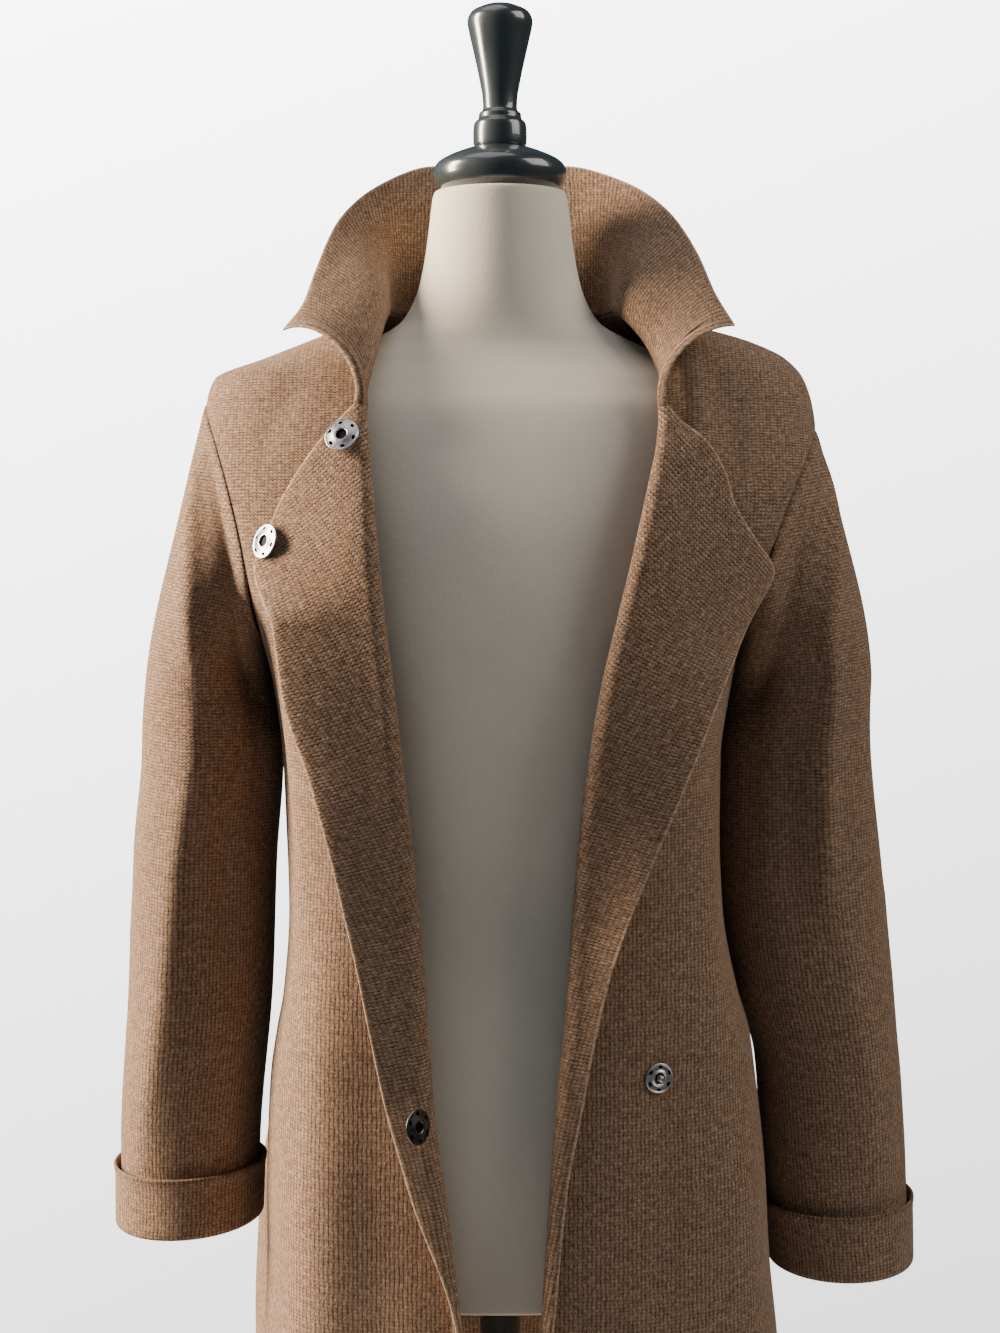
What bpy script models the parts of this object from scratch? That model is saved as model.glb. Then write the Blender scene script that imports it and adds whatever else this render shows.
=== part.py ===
"""Cardigan coat of fine-gauge wool knit, worn open on a limbless dress form with a turned neck cap.

Metres, +Z up. The origin is on the floor, at the middle of the stand's base. The coat faces -Y, and left and
right are the wearer's: the right front and sleeve are at -X. Each cloth piece is a wall of even thickness on
a middle surface that functions work out from the sections in the tables below.
"""

import math

import bmesh
import bpy
import numpy as np
from mathutils import Matrix, Vector

CLOTH = 0.0025  # thickness of the knit
SEAM_GAP = 0.0003  # between pieces that are sewn, or parts that touch
SEAM_TRIM = 0.0005  # taken off each edge of a side or shoulder seam, where two walls meet at an angle
RIGHT, LEFT = -1, 1  # the wearer's sides, as the sign of x

UNDERARM = 1.235
SHOULDER_TIP = {RIGHT: 1.396, LEFT: 1.378}  # top of each armhole; the left shoulder sits fuller
ARMHOLE_HOLLOW = 0.009  # how far the armhole curves in at the chest and the shoulder blade
NECK_POINT = 1.462  # where the shoulder seam meets the collar
NOTCH = 1.389  # between collar and lapel
NECK_BOW = {RIGHT: 0.0, LEFT: 0.010}  # how far the front's neck edge bows out between neck point and notch
NOTCH_ANGLE = 45  # round the armhole, where the row of points from the notch ends
LAPEL_SETTLE = 0.014  # how fast the soft roll settles to that

SNAP_DIAMETER = {"socket": 0.024, "stud": 0.021}
SNAP_HOLES = 6
SNAP_HOLE_RADIUS = 0.001
SNAP_HOLE_RING = 0.74  # from the middle of the disc, as a share of its radius

BASE_DIAMETER = 0.36
BASE_HEIGHT = 0.024
POLE_DIAMETER = 0.030
POLE_TOP = 0.835
FORM_BOTTOM = 0.770
SHOULDER_LEVEL, NECK_LEVEL = 1.430, 1.470  # between these the form's sections turn from square to round
NECK_TOP = 1.545


class Table:
    """Rows of sizes with named columns, read between rows on a smooth curve that never overshoots."""

    def __init__(self, columns, *rows):
        data = np.array(rows, float)
        self.place = data[:, 0]
        self.columns = dict(zip(columns.split()[1:], data.T[1:]))

    def at(self, column, place):
        x, y = self.place, self.columns[column]
        step = np.diff(x)
        rise = np.diff(y) / step
        slope = np.empty_like(y)
        slope[0], slope[-1] = rise[0], rise[-1]
        before, after = rise[:-1], rise[1:]
        near, far = 2 * step[1:] + step[:-1], step[1:] + 2 * step[:-1]
        level = before * after <= 0
        below = np.where(level, 1, near / np.where(level, 1, before) + far / np.where(level, 1, after))
        slope[1:-1] = np.where(level, 0, (near + far) / below)
        place = np.clip(np.asarray(place, float), x[0], x[-1])
        row = np.clip(np.searchsorted(x, place, side="right") - 1, 0, len(step) - 1)
        h = step[row]
        t = (place - x[row]) / h
        start = y[row] * (1 + 2 * t) * (1 - t) ** 2 + slope[row] * h * t * (1 - t) ** 2
        return start + y[row + 1] * t * t * (3 - 2 * t) + slope[row + 1] * h * t * t * (t - 1)


# The coat's body from hem to neck: half widths to the right and left side seams, depths at the middle front
# and back, how square a section is (2 is an ellipse) and how far the right back swings out past its seam.
# Between underarm and shoulder the widths run on past the armhole, as the cloth would towards an arm.
BODY = Table(
    "height right left front back square swing",
    (0.480, 0.190, 0.216, 0.150, 0.154, 2.5, 0.025),  # hem
    (0.600, 0.181, 0.210, 0.140, 0.150, 2.6, 0.035),
    (0.720, 0.172, 0.202, 0.129, 0.145, 2.8, 0.045),
    (0.790, 0.1685, 0.1945, 0.123, 0.141, 2.9, 0.045),
    (0.850, 0.168, 0.191, 0.118, 0.136, 2.9, 0.035),  # hips
    (0.917, 0.165, 0.184, 0.112, 0.125, 2.7, 0.015),
    (0.950, 0.160, 0.179, 0.109, 0.118, 2.9, 0.005),
    (0.980, 0.1545, 0.170, 0.106, 0.110, 3.0, 0.0),
    (1.040, 0.150, 0.1585, 0.102, 0.098, 3.1, 0.0),  # waist
    (1.100, 0.152, 0.1555, 0.107, 0.096, 3.1, 0.0),
    (1.150, 0.1545, 0.156, 0.115, 0.099, 3.0, 0.0),
    (1.195, 0.160, 0.1625, 0.123, 0.103, 2.8, 0.0),
    (UNDERARM, 0.169, 0.172, 0.126, 0.106, 2.6, 0.0),
    (1.290, 0.201, 0.211, 0.122, 0.107, 2.4, 0.0),
    (1.340, 0.219, 0.232, 0.110, 0.101, 2.3, 0.0),
    (1.378, 0.214, 0.2235, 0.097, 0.092, 2.3, 0.0),
    (1.396, 0.208, 0.2205, 0.088, 0.085, 2.3, 0.0),
    (1.414, 0.2015, 0.2145, 0.079, 0.077, 2.3, 0.0),
    (1.428, 0.167, 0.202, 0.070, 0.071, 2.3, 0.0),
    (1.438, 0.141, 0.182, 0.064, 0.067, 2.3, 0.0),
    (1.446, 0.1205, 0.156, 0.060, 0.064, 2.3, 0.0),
    (1.455, 0.097, 0.113, 0.056, 0.062, 2.3, 0.0),
    (NECK_POINT, 0.078, 0.080, 0.053, 0.060, 2.3, 0.0),
)

# The fold of each front: how far it stands from the middle, its roll's radius, the cloth past the roll's
# start, how far off the front the lapel rests, and how much further its outer edge stands off.
FRONTS = {
    RIGHT: Table(
        "height fold roll turn_back rest edge",
        (0.480, 0.008, 0.0040, 0.003, 0.008, 0.0),
        (0.620, 0.016, 0.0050, 0.006, 0.010, 0.0),
        (0.720, 0.0215, 0.0060, 0.012, 0.012, 0.0),
        (0.780, 0.0268, 0.0075, 0.0187, 0.014, 0.001),
        (0.865, 0.0368, 0.0100, 0.0422, 0.018, 0.002),
        (0.921, 0.0436, 0.0115, 0.0520, 0.020, 0.004),
        (1.025, 0.0512, 0.0105, 0.0606, 0.018, 0.007),
        (1.136, 0.0616, 0.0085, 0.0681, 0.013, 0.009),
        (1.199, 0.0682, 0.0070, 0.0799, 0.010, 0.008),
        (1.250, 0.0743, 0.0070, 0.0935, 0.0075, 0.005),
        (1.288, 0.0785, 0.0070, 0.1045, 0.0055, 0.0025),  # corner of the lapel
        (1.318, 0.0816, 0.0065, 0.0840, 0.0055, 0.0015),
        (1.345, 0.0845, 0.0055, 0.0625, 0.0055, 0.001),
        (1.372, 0.0875, 0.0048, 0.0360, 0.0055, 0.0005),
        (NOTCH, 0.0895, 0.0040, 0.0145, 0.0055, 0.0),
    ),
    LEFT: Table(
        "height fold roll turn_back rest edge",
        (0.480, 0.014, 0.0040, 0.003, 0.007, 0.0),
        (0.620, 0.020, 0.0050, 0.008, 0.009, 0.0),
        (0.773, 0.0281, 0.0060, 0.0199, 0.011, 0.001),
        (0.865, 0.0340, 0.0070, 0.0248, 0.012, 0.003),
        (0.921, 0.0378, 0.0075, 0.0318, 0.014, 0.005),
        (0.985, 0.0446, 0.0080, 0.0376, 0.015, 0.007),
        (1.040, 0.0481, 0.0080, 0.0465, 0.015, 0.009),
        (1.117, 0.0539, 0.0075, 0.0655, 0.012, 0.010),
        (1.199, 0.0644, 0.0070, 0.0882, 0.009, 0.008),
        (1.250, 0.0757, 0.0070, 0.1109, 0.0065, 0.005),
        (1.278, 0.0828, 0.0070, 0.1270, 0.0055, 0.0025),  # corner of the lapel
        (1.303, 0.0890, 0.0065, 0.0970, 0.0055, 0.0015),
        (1.326, 0.0947, 0.0060, 0.0730, 0.0055, 0.001),
        (1.345, 0.0992, 0.0055, 0.0615, 0.0055, 0.0008),
        (1.363, 0.1035, 0.0048, 0.0440, 0.0055, 0.0005),
        (NOTCH, 0.107, 0.0040, 0.0115, 0.0055, 0.0),
    ),
}

# Sleeve rings below the cap; tilt lifts the outer side of a ring for each metre of its width.
SLEEVES = {
    RIGHT: Table(
        "height x y half_x half_y tilt",
        (0.804, 0.2300, 0.008, 0.0490, 0.049, -0.05),  # fold of the turned-up end
        (0.865, 0.2282, 0.008, 0.0500, 0.047, -0.02),
        (0.980, 0.2192, 0.009, 0.0513, 0.047, 0.01),
        (1.072, 0.2157, 0.010, 0.0515, 0.048, 0.03),
        (1.152, 0.2093, 0.010, 0.0501, 0.052, 0.05),
        (1.197, 0.2100, 0.008, 0.0448, 0.055, 0.07),
    ),
    LEFT: Table(
        "height x y half_x half_y tilt",
        (0.768, 0.2550, 0.020, 0.0486, 0.050, 0.02),  # fold of the turned-up end
        (0.815, 0.2510, 0.021, 0.0512, 0.050, 0.03),
        (0.865, 0.2474, 0.022, 0.0521, 0.050, 0.04),
        (0.920, 0.2428, 0.023, 0.0521, 0.050, 0.04),
        (0.980, 0.2315, 0.024, 0.0577, 0.050, 0.04),
        (1.060, 0.2213, 0.025, 0.0602, 0.052, 0.04),
        (1.150, 0.2166, 0.024, 0.0555, 0.055, 0.05),
        (1.197, 0.2184, 0.018, 0.0508, 0.057, 0.07),
    ),
}
CUFF_HEIGHTS = {RIGHT: 0.041, LEFT: 0.045}
CUFF_ROLL = 0.0022
SLEEVE_SPREAD = {RIGHT: 0.14, LEFT: 0.24}  # how far the cap leans out for each metre down, at its top

# The collar's outer edge from its right point round the back to its left point. share is the way along the
# neck seam from the middle of the back; rise and fall are the angles above level, in degrees, at which the
# cloth leaves the seam and ends; lift is how far its lower edge is above the middle of the neck edge.
COLLAR = Table(
    "share x y z rise fall lift",
    (-1.00, -0.146, -0.070, 1.444, 106, -30, 0.0014),  # right point
    (-0.85, -0.134, -0.054, 1.463, 100, -8, 0.0031),
    (-0.70, -0.127, -0.028, 1.490, 98, 14, 0.0036),
    (-0.55, -0.115, 0.010, 1.527, 94, 36, 0.0022),
    (-0.40, -0.090, 0.048, 1.557, 92, 54, 0.0014),
    (-0.22, -0.050, 0.075, 1.576, 90, 68, 0.0010),
    (0.00, 0.000, 0.084, 1.578, 88, 74, 0.0006),  # middle of the back
    (0.22, 0.050, 0.075, 1.576, 90, 68, 0.0010),
    (0.40, 0.094, 0.048, 1.559, 92, 54, 0.0018),
    (0.55, 0.120, 0.012, 1.534, 94, 34, 0.0022),
    (0.70, 0.137, -0.022, 1.501, 96, 18, 0.0034),
    (0.85, 0.147, -0.050, 1.470, 100, 8, 0.0038),
    (1.00, 0.158, -0.070, 1.447, 106, -4, 0.0024),  # left point
)

# The dress form, clear of the coat.
FORM = Table(
    "height half_width front back",
    (FORM_BOTTOM, 0.157, 0.103, 0.116),
    (0.850, 0.159, 0.102, 0.118),  # hips
    (0.950, 0.146, 0.093, 0.101),
    (1.040, 0.127, 0.086, 0.083),  # waist
    (1.140, 0.139, 0.098, 0.085),
    (1.235, 0.156, 0.112, 0.092),  # bust
    (1.300, 0.162, 0.106, 0.092),
    (1.355, 0.176, 0.092, 0.084),
    (1.392, 0.184, 0.078, 0.073),
    (1.410, 0.172, 0.067, 0.066),
    (1.426, 0.133, 0.058, 0.058),
    (1.440, 0.096, 0.053, 0.053),
    (1.456, 0.069, 0.051, 0.051),
    (1.485, 0.056, 0.050, 0.050),
    (NECK_TOP, 0.047, 0.047, 0.047),
)

# Turned profiles, radius and height, from the bottom up.
CAP_PROFILE = (
    (0.040, 1.5453),
    (0.0455, 1.5510),
    (0.0477, 1.5590),
    (0.0450, 1.5655),
    (0.0385, 1.5695),
    (0.0290, 1.5735),
    (0.0200, 1.5765),
)
FINIAL_PROFILE = (
    (0.0176, 1.5768),
    (0.0188, 1.5790),
    (0.0190, 1.5870),
    (0.0184, 1.5940),
    (0.0150, 1.5962),
    (0.0150, 1.6005),
    (0.0118, 1.6022),
    (0.0124, 1.6130),
    (0.0160, 1.6310),
    (0.0204, 1.6500),
    (0.0229, 1.6610),
    (0.0229, 1.6655),
    (0.0200, 1.6705),
    (0.0110, 1.6742),
)
BASE_PROFILE = (
    (BASE_DIAMETER / 2 - 0.004, 0.0),
    (BASE_DIAMETER / 2, 0.004),
    (BASE_DIAMETER / 2, 0.009),
    (BASE_DIAMETER / 2 - 0.008, 0.0125),
    (0.045, 0.018),
    (0.030, BASE_HEIGHT),
)

# Where the snaps sit: side, height, cloth past the roll's start (or, on the front itself, x), which half,
# how far the disc leans on its threads, in degrees, and how far off the cloth the middle of its back is.
SNAPS = {
    "snap_socket_top": dict(side=RIGHT, height=1.368, turned=0.0255, half="socket", lean=0, off=0.0003),
    "snap_socket_corner": dict(side=RIGHT, height=1.301, turned=0.090, half="socket", lean=0, off=0.0003),
    "snap_socket_waist": dict(side=RIGHT, height=0.9135, turned=0.0345, half="socket", lean=48, off=0.0074),
    "snap_stud_waist": dict(side=LEFT, height=0.937, x=0.1085, half="stud", lean=0, off=0.0009),
}


# ---------------------------------------------------------------------------------------------- the body


def side_width(height, side):
    return BODY.at("right" if side == RIGHT else "left", height)


def body(height, turn, side):
    """Middle of the body cloth; turn is -90 degrees at the middle front, 0 at the side and 90 at the back."""
    height, turn = np.broadcast_arrays(np.asarray(height, float), np.asarray(turn, float))
    depth = np.where(turn < 0, BODY.at("front", height), BODY.at("back", height))
    power = 2 / BODY.at("square", height)
    x = side_width(height, side) * np.abs(np.cos(turn)) ** power
    if side == RIGHT:
        x = x + np.where(turn > 0, BODY.at("swing", height) * np.sin(2 * turn) ** 2, 0)
    y = np.sign(turn) * depth * np.abs(np.sin(turn)) ** power
    return np.stack((side * x, y, height), -1)


def unit(vectors):
    return vectors / np.linalg.norm(vectors, axis=-1, keepdims=True)


def body_normal(height, turn, side, step=0.0005):
    along = body(height, turn + step, side) - body(height, turn - step, side)
    up = body(height + step, turn, side) - body(height - step, turn, side)
    return side * unit(np.cross(along, up))


def front_turn(height, x, side):
    """Turn at which the front is at a distance x from the middle."""
    share = np.clip(x / side_width(height, side), 0, 1)
    return -np.arccos(share ** (BODY.at("square", height) / 2))


def fold_turn(height, side):
    """Turn at which the front ends and its roll starts."""
    return front_turn(height, FRONTS[side].at("fold", height) + FRONTS[side].at("roll", height), side)


def armhole(angle, side):
    """Height and turn, as on the front, round the armhole: 0 is the front, 90 degrees the top."""
    top = SHOULDER_TIP[side]
    share = (1 + np.sin(angle)) / 2
    height = UNDERARM + (top - UNDERARM) * share
    ends = side_width(UNDERARM, side), side_width(top, side)
    x = ends[0] + (ends[1] - ends[0]) * share - ARMHOLE_HOLLOW * np.cos(angle) ** 2
    return height, front_turn(height, np.minimum(x, side_width(height, side)), side)


def neckline(share, side):
    """Height and turn of the front's neck edge, from the fold at the notch to the neck point."""
    height = NOTCH + (NECK_POINT - NOTCH) * np.sin(share * math.pi / 2)
    start = FRONTS[side].at("fold", NOTCH) + FRONTS[side].at("roll", NOTCH)
    rise = (height - NOTCH) / (NECK_POINT - NOTCH)
    x = start + (side_width(NECK_POINT, side) - start) * rise + NECK_BOW[side] * np.sin(math.pi * rise)
    return height, front_turn(height, x, side)


def turned_back(height, side, cloth):
    """Points of the front past its fold, at lengths of cloth from where the roll starts."""
    front = FRONTS[side]
    roll = front.at("roll", height)
    start = fold_turn(height, side)
    turns = np.linspace(start, 0, 60)
    line = body(height, turns, side)
    length = np.append(0, np.cumsum(np.linalg.norm(np.diff(line, axis=0), axis=1)))
    past = np.maximum(cloth - math.pi * roll, 0)
    turn = np.interp(past, length, turns)
    bend = np.minimum(cloth / roll, math.pi)
    rest = np.minimum(front.at("rest", height), 2 * roll)
    settled = rest + (2 * roll - rest) * (1 + past / LAPEL_SETTLE) * np.exp(-past / LAPEL_SETTLE)
    flat = max(front.at("turn_back", height) - math.pi * roll, 0.02)
    lift = settled + front.at("edge", height) * (past / flat) ** 1.5
    out = np.where(bend < math.pi, roll * (1 - np.cos(bend)), lift)
    inward = unit(body(height, start - 0.001, side) - body(height, start + 0.001, side))
    normal = body_normal(height, turn, side)
    return body(height, turn, side) + normal * out[:, None] + inward * (roll * np.sin(bend))[:, None]


def lapel_lengths(height, side, roll_steps, flat_steps):
    front = FRONTS[side]
    whole = front.at("turn_back", height)
    round_part = min(math.pi * front.at("roll", height), 0.6 * whole)
    flat = np.linspace(round_part, whole, flat_steps + 1)
    return np.concatenate((np.linspace(0, round_part, roll_steps + 1)[1:], flat[1:]))


def row_ends(angle, side):
    """Where a row from an angle of the armhole starts and ends, and how far it is past the notch."""
    height, turn = armhole(angle, side)
    notch_level = armhole(math.radians(NOTCH_ANGLE), side)[0]
    past = max(0, math.degrees(angle) - NOTCH_ANGLE) / (90 - NOTCH_ANGLE)
    inner = UNDERARM + (NOTCH - UNDERARM) * (height - UNDERARM) / (notch_level - UNDERARM)
    return height, turn, min(inner, NOTCH), past


def front_rows(side, below, angles, columns, roll_steps, flat_steps):
    """Rows of a front from hem to shoulder seam, from the side seam or armhole to its outer edge."""
    across = np.linspace(0, 1, columns)
    ends = [(height, 0.0, height, 0) for height in below] + [row_ends(angle, side) for angle in angles]
    rows = []
    for height, turn, inner_height, past in ends:
        inner_turn = fold_turn(inner_height, side)
        if past > 0:
            inner_height, inner_turn = neckline(past, side)
        row = body(height + (inner_height - height) * across, turn + (inner_turn - turn) * across, side)
        if past == 0:
            lengths = lapel_lengths(inner_height, side, roll_steps, flat_steps)
            row = np.vstack((row, turned_back(inner_height, side, lengths)))
        rows.append(row)
    for row in rows[: len(below) + 1]:
        row[0] += unit(row[1] - row[0]) * SEAM_TRIM
    rows[-1] += unit(rows[-2] - rows[-1]) * SEAM_TRIM
    return rows


def back_half(side, below, angles, shoulder, neck):
    """Rows of one half of the back, from its side seam or armhole to the middle."""
    ends = [(height, 0.0, height, 0) for height in below] + [row_ends(angle, side) for angle in angles]
    rows = []
    for height, turn, inner_height, past in ends:
        inner_height += (NECK_POINT - inner_height) * math.sin(past * math.pi / 2)
        neck_turn = (math.pi / 2) * shoulder / (shoulder + neck) * (1 - past**2)
        across, along = np.linspace(0, 1, shoulder + 1), np.linspace(neck_turn, math.pi / 2, neck + 1)[1:]
        heights = np.append(height + (inner_height - height) * across, np.full(neck, inner_height))
        turns = np.append(-turn + (neck_turn + turn) * across, along)
        rows.append(body(heights, turns, side))
    return rows


def back_rows(below, angles, shoulder, neck):
    """Rows of the back from hem to shoulders and neck, from the right side to the left."""
    halves = [back_half(side, below, angles, shoulder, neck) for side in (RIGHT, LEFT)]
    rows = [np.vstack((right, left[-2::-1])) for right, left in zip(*halves)]
    for row in rows[: len(below) + 1]:
        row[0] += unit(row[1] - row[0]) * SEAM_TRIM
        row[-1] += unit(row[-2] - row[-1]) * SEAM_TRIM
    rows[-1] += unit(rows[-2] - rows[-1]) * SEAM_TRIM
    return rows


# -------------------------------------------------------------------------------------------- the sleeves


def sleeve_ring(side, height, angles, out=0.0):
    table = SLEEVES[side]
    half_x = table.at("half_x", height) + out
    half_y = table.at("half_y", height) + out
    across = half_x * np.sin(angles)
    x = side * (table.at("x", height) + across)
    y = table.at("y", height) - half_y * np.cos(angles)
    return np.stack((x, y, height + table.at("tilt", height) * across), -1)


def sleeve_rows(side, angles, cap_steps, heights, roll_steps, cuff_steps):
    """Rings from the armhole over the cap and down the arm, then round the fold and up the turned-up end."""
    height, turn = armhole(angles, side)
    seam = body(height, np.where(np.cos(angles) > 0, turn, -turn), side)
    seam[:, 0] += side * (CLOTH / 2 + SEAM_GAP + CLOTH / 2 * (1 - np.sin(angles)) / 2)
    top = SLEEVES[side].place[-1]
    ring = sleeve_ring(side, top, angles)
    ahead = unit(sleeve_ring(side, top - 0.01, angles) - ring)
    spread = side * SLEEVE_SPREAD[side] * (1 + np.sin(angles)) / 2
    leave = np.stack((spread, np.zeros_like(angles), -np.ones_like(angles)), -1)
    reach = np.linalg.norm(ring - seam, axis=1)[:, None]
    rows = []
    for t in np.linspace(0, 1, cap_steps + 1)[:-1]:
        start = seam * (1 + 2 * t) * (1 - t) ** 2 + unit(leave) * reach * t * (1 - t) ** 2
        rows.append(start + ring * t * t * (3 - 2 * t) + ahead * reach * t * t * (t - 1))
    rows += [sleeve_ring(side, height, angles) for height in heights]
    fold = SLEEVES[side].place[0]
    for bend in np.linspace(0, math.pi, roll_steps + 1)[1:]:
        level = fold - CUFF_ROLL * math.sin(bend)
        rows.append(sleeve_ring(side, fold, angles, CUFF_ROLL * (1 - math.cos(bend))) + (0, 0, level - fold))
    for level in np.linspace(0, CUFF_HEIGHTS[side], cuff_steps + 1)[1:]:
        rows.append(sleeve_ring(side, fold + level, angles, 2 * CUFF_ROLL))
    return rows


# --------------------------------------------------------------------------------------------- the collar


def neck_seam(side, shares):
    """The neck edge at shares of its length from the middle of the back to the notch."""
    back = body(NECK_POINT, np.linspace(math.pi / 2, 0, 40), side)
    front = body(*neckline(np.linspace(1, 0, 40)[1:], side), side)
    notch = turned_back(NOTCH, side, np.linspace(0, FRONTS[side].at("turn_back", NOTCH), 20)[1:])
    line = np.vstack((back, front, notch))
    length = np.append(0, np.cumsum(np.linalg.norm(np.diff(line, axis=0), axis=1)))
    return np.stack([np.interp(shares * length[-1], length, line[:, axis]) for axis in range(3)], -1)


def collar_rows(count, across):
    """Sections of the collar from its right point round the back to its left point."""
    half = 1 - (1 - np.linspace(0, 1, count)) ** 1.7
    shares = np.append(-half[::-1], half[1:])
    seam = np.vstack((neck_seam(RIGHT, half)[::-1], neck_seam(LEFT, half)[1:]))
    seam[:, 2] += COLLAR.at("lift", shares)
    edge = np.stack([COLLAR.at(column, shares) for column in "xyz"], -1)
    level = (edge - seam) * (1, 1, 0)
    heading = unit(level)
    chord = np.linalg.norm(edge - seam, axis=1)[:, None] * 1.15
    leave, arrive = (
        heading * np.cos(angle)[:, None] + np.sin(angle)[:, None] * np.array((0, 0, 1))
        for angle in (np.radians(COLLAR.at(column, shares)) for column in ("rise", "fall"))
    )
    out = []
    for t in np.linspace(0, 1, across + 1):
        start = seam * (1 + 2 * t) * (1 - t) ** 2 + leave * chord * t * (1 - t) ** 2
        out.append(start + edge * t * t * (3 - 2 * t) + arrive * chord * t * t * (t - 1))
    return out


# ------------------------------------------------------------------------------------------ making objects


def clear_scene():
    for thing in list(bpy.data.objects):
        bpy.data.objects.remove(thing, do_unlink=True)


def paint(name, colour, roughness, metallic=0.0):
    material = bpy.data.materials.new(name)
    material.use_nodes = True
    shader = material.node_tree.nodes["Principled BSDF"]
    shader.inputs["Base Color"].default_value = (*colour, 1)
    shader.inputs["Roughness"].default_value = roughness
    shader.inputs["Metallic"].default_value = metallic
    return material


def add_object(name, vertices, faces, material):
    mesh = bpy.data.meshes.new(name)
    mesh.from_pydata([tuple(v) for v in vertices], [], faces)
    mesh.materials.append(material)
    thing = bpy.data.objects.new(name, mesh)
    bpy.context.collection.objects.link(thing)
    return thing


def wall(name, rows, material, closed=False):
    """A wall of cloth on a grid of middle points; a row longer than the next ends in an edge of its own."""
    starts = np.cumsum([0] + [len(row) for row in rows])
    faces = []
    for index in range(len(rows) - 1):
        here, there = starts[index], starts[index + 1]
        count = min(len(rows[index]), len(rows[index + 1]))
        for column in range(count if closed else count - 1):
            beside = (column + 1) % count
            faces.append((here + column, here + beside, there + beside, there + column))
    thing = add_object(name, np.vstack(rows), faces, material)
    solid = thing.modifiers.new("Thickness", "SOLIDIFY")
    solid.thickness = CLOTH
    solid.offset = 0
    solid.use_even_offset = True
    solid.use_quality_normals = True
    thing.data.shade_smooth()
    return thing


def stack(name, rings, material):
    """A closed solid through rings of points from the bottom up, with flat ends."""
    count = len(rings[0])
    faces = [tuple(range(count))[::-1]]
    for index in range(len(rings) - 1):
        for column in range(count):
            beside = (column + 1) % count
            here, there = index * count, (index + 1) * count
            faces.append((here + column, here + beside, there + beside, there + column))
    faces.append(tuple(range((len(rings) - 1) * count, len(rings) * count)))
    thing = add_object(name, np.vstack(rings), faces, material)
    thing.data.shade_smooth()
    thing.data.set_sharp_from_angle(angle=math.radians(40))
    return thing


def circle(radius, height, count):
    angles = np.arange(count) * 2 * math.pi / count
    return np.stack((radius * np.cos(angles), radius * np.sin(angles), np.full(count, height)), -1)


def form_ring(height, count):
    angles = np.arange(count) * 2 * math.pi / count
    depth = np.where(np.sin(angles) < 0, FORM.at("front", height), FORM.at("back", height))
    power = 2 / np.interp(height, (SHOULDER_LEVEL, NECK_LEVEL), (2.3, 2))
    x = FORM.at("half_width", height) * np.sign(np.cos(angles)) * np.abs(np.cos(angles)) ** power
    y = depth * np.sign(np.sin(angles)) * np.abs(np.sin(angles)) ** power
    return np.stack((x, y, np.full(count, height)), -1)


def make_form(cover, lacquer):
    """The padded torso with its neck, the turned cap and finial on it, and the plain stand under it."""
    count = 32
    bore = POLE_DIAMETER / 2 + SEAM_GAP
    heights = (0.785, 0.85, 0.92, 0.98, 1.04, 1.10, 1.17, 1.235, 1.28, 1.32, 1.355, 1.378, 1.394, 1.405)
    heights += (1.415, 1.426, 1.440, 1.456, 1.485, 1.515)
    lip = form_ring(FORM_BOTTOM + 0.004, count)
    rings = [circle(bore, POLE_TOP + SEAM_GAP, count), circle(bore, FORM_BOTTOM, count)]
    rings += [form_ring(FORM_BOTTOM, count) * (0.96, 0.96, 1), lip]
    rings += [form_ring(height, count) for height in heights] + [circle(0.047, NECK_TOP, count)]
    stack("form_torso", rings, cover)
    stack("neck_cap", [circle(r, z, count) for r, z in CAP_PROFILE], lacquer)
    stack("finial", [circle(r, z, count // 2) for r, z in FINIAL_PROFILE], lacquer)
    levels = BASE_HEIGHT + SEAM_GAP, POLE_TOP
    stack("stand_pole", [circle(POLE_DIAMETER / 2, z, count) for z in levels], lacquer)
    stack("stand_base", [circle(r, z, count) for r, z in BASE_PROFILE], lacquer)


def snap_profile(half):
    """Radius and height of a snap's turned shape, from its back over its rim to its face."""
    rim = SNAP_DIAMETER[half] / 2
    profile = [(rim - 0.0006, 0.0), (rim, 0.0006), (rim - 0.0007, 0.0012), (rim - 0.0016, 0.0009)]
    if half == "socket":
        raised, mouth = 0.0056, 0.0027
        profile += [(raised, 0.0011), (raised - 0.0009, 0.0021), (mouth + 0.0006, 0.0023), (mouth, 0.0017)]
        return profile + [(mouth, 0.0007)]
    raised, ball = 0.0052, 0.0022
    profile += [(raised, 0.0010), (raised - 0.0008, 0.0018), (ball - 0.0003, 0.0018), (ball - 0.0004, 0.0027)]
    return profile + [(ball, 0.0035), (ball - 0.0003, 0.0042), (ball - 0.0013, 0.0046)]


def snap_seat(place):
    """Middle of a snap's back and the direction it faces, from the cloth it is sewn to."""
    side, height = place["side"], place["height"]
    if "turned" in place:
        near = np.array((place["turned"] - 0.004, place["turned"], place["turned"] + 0.004))
        line = turned_back(height, side, near)
        above = turned_back(height + 0.004, side, near)
    else:
        near = front_turn(height, place["x"], side) + np.array((-0.02, 0, 0.02))
        line = body(height, near, side)
        above = body(height + 0.004, near, side)
    along, up = unit(line[2] - line[0]), unit(above[1] - line[1])
    out = unit(np.cross(along, up))
    if out[1] > 0:
        out = -out
    return line[1] + out * (CLOTH / 2 + place["off"]), out, up


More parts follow.
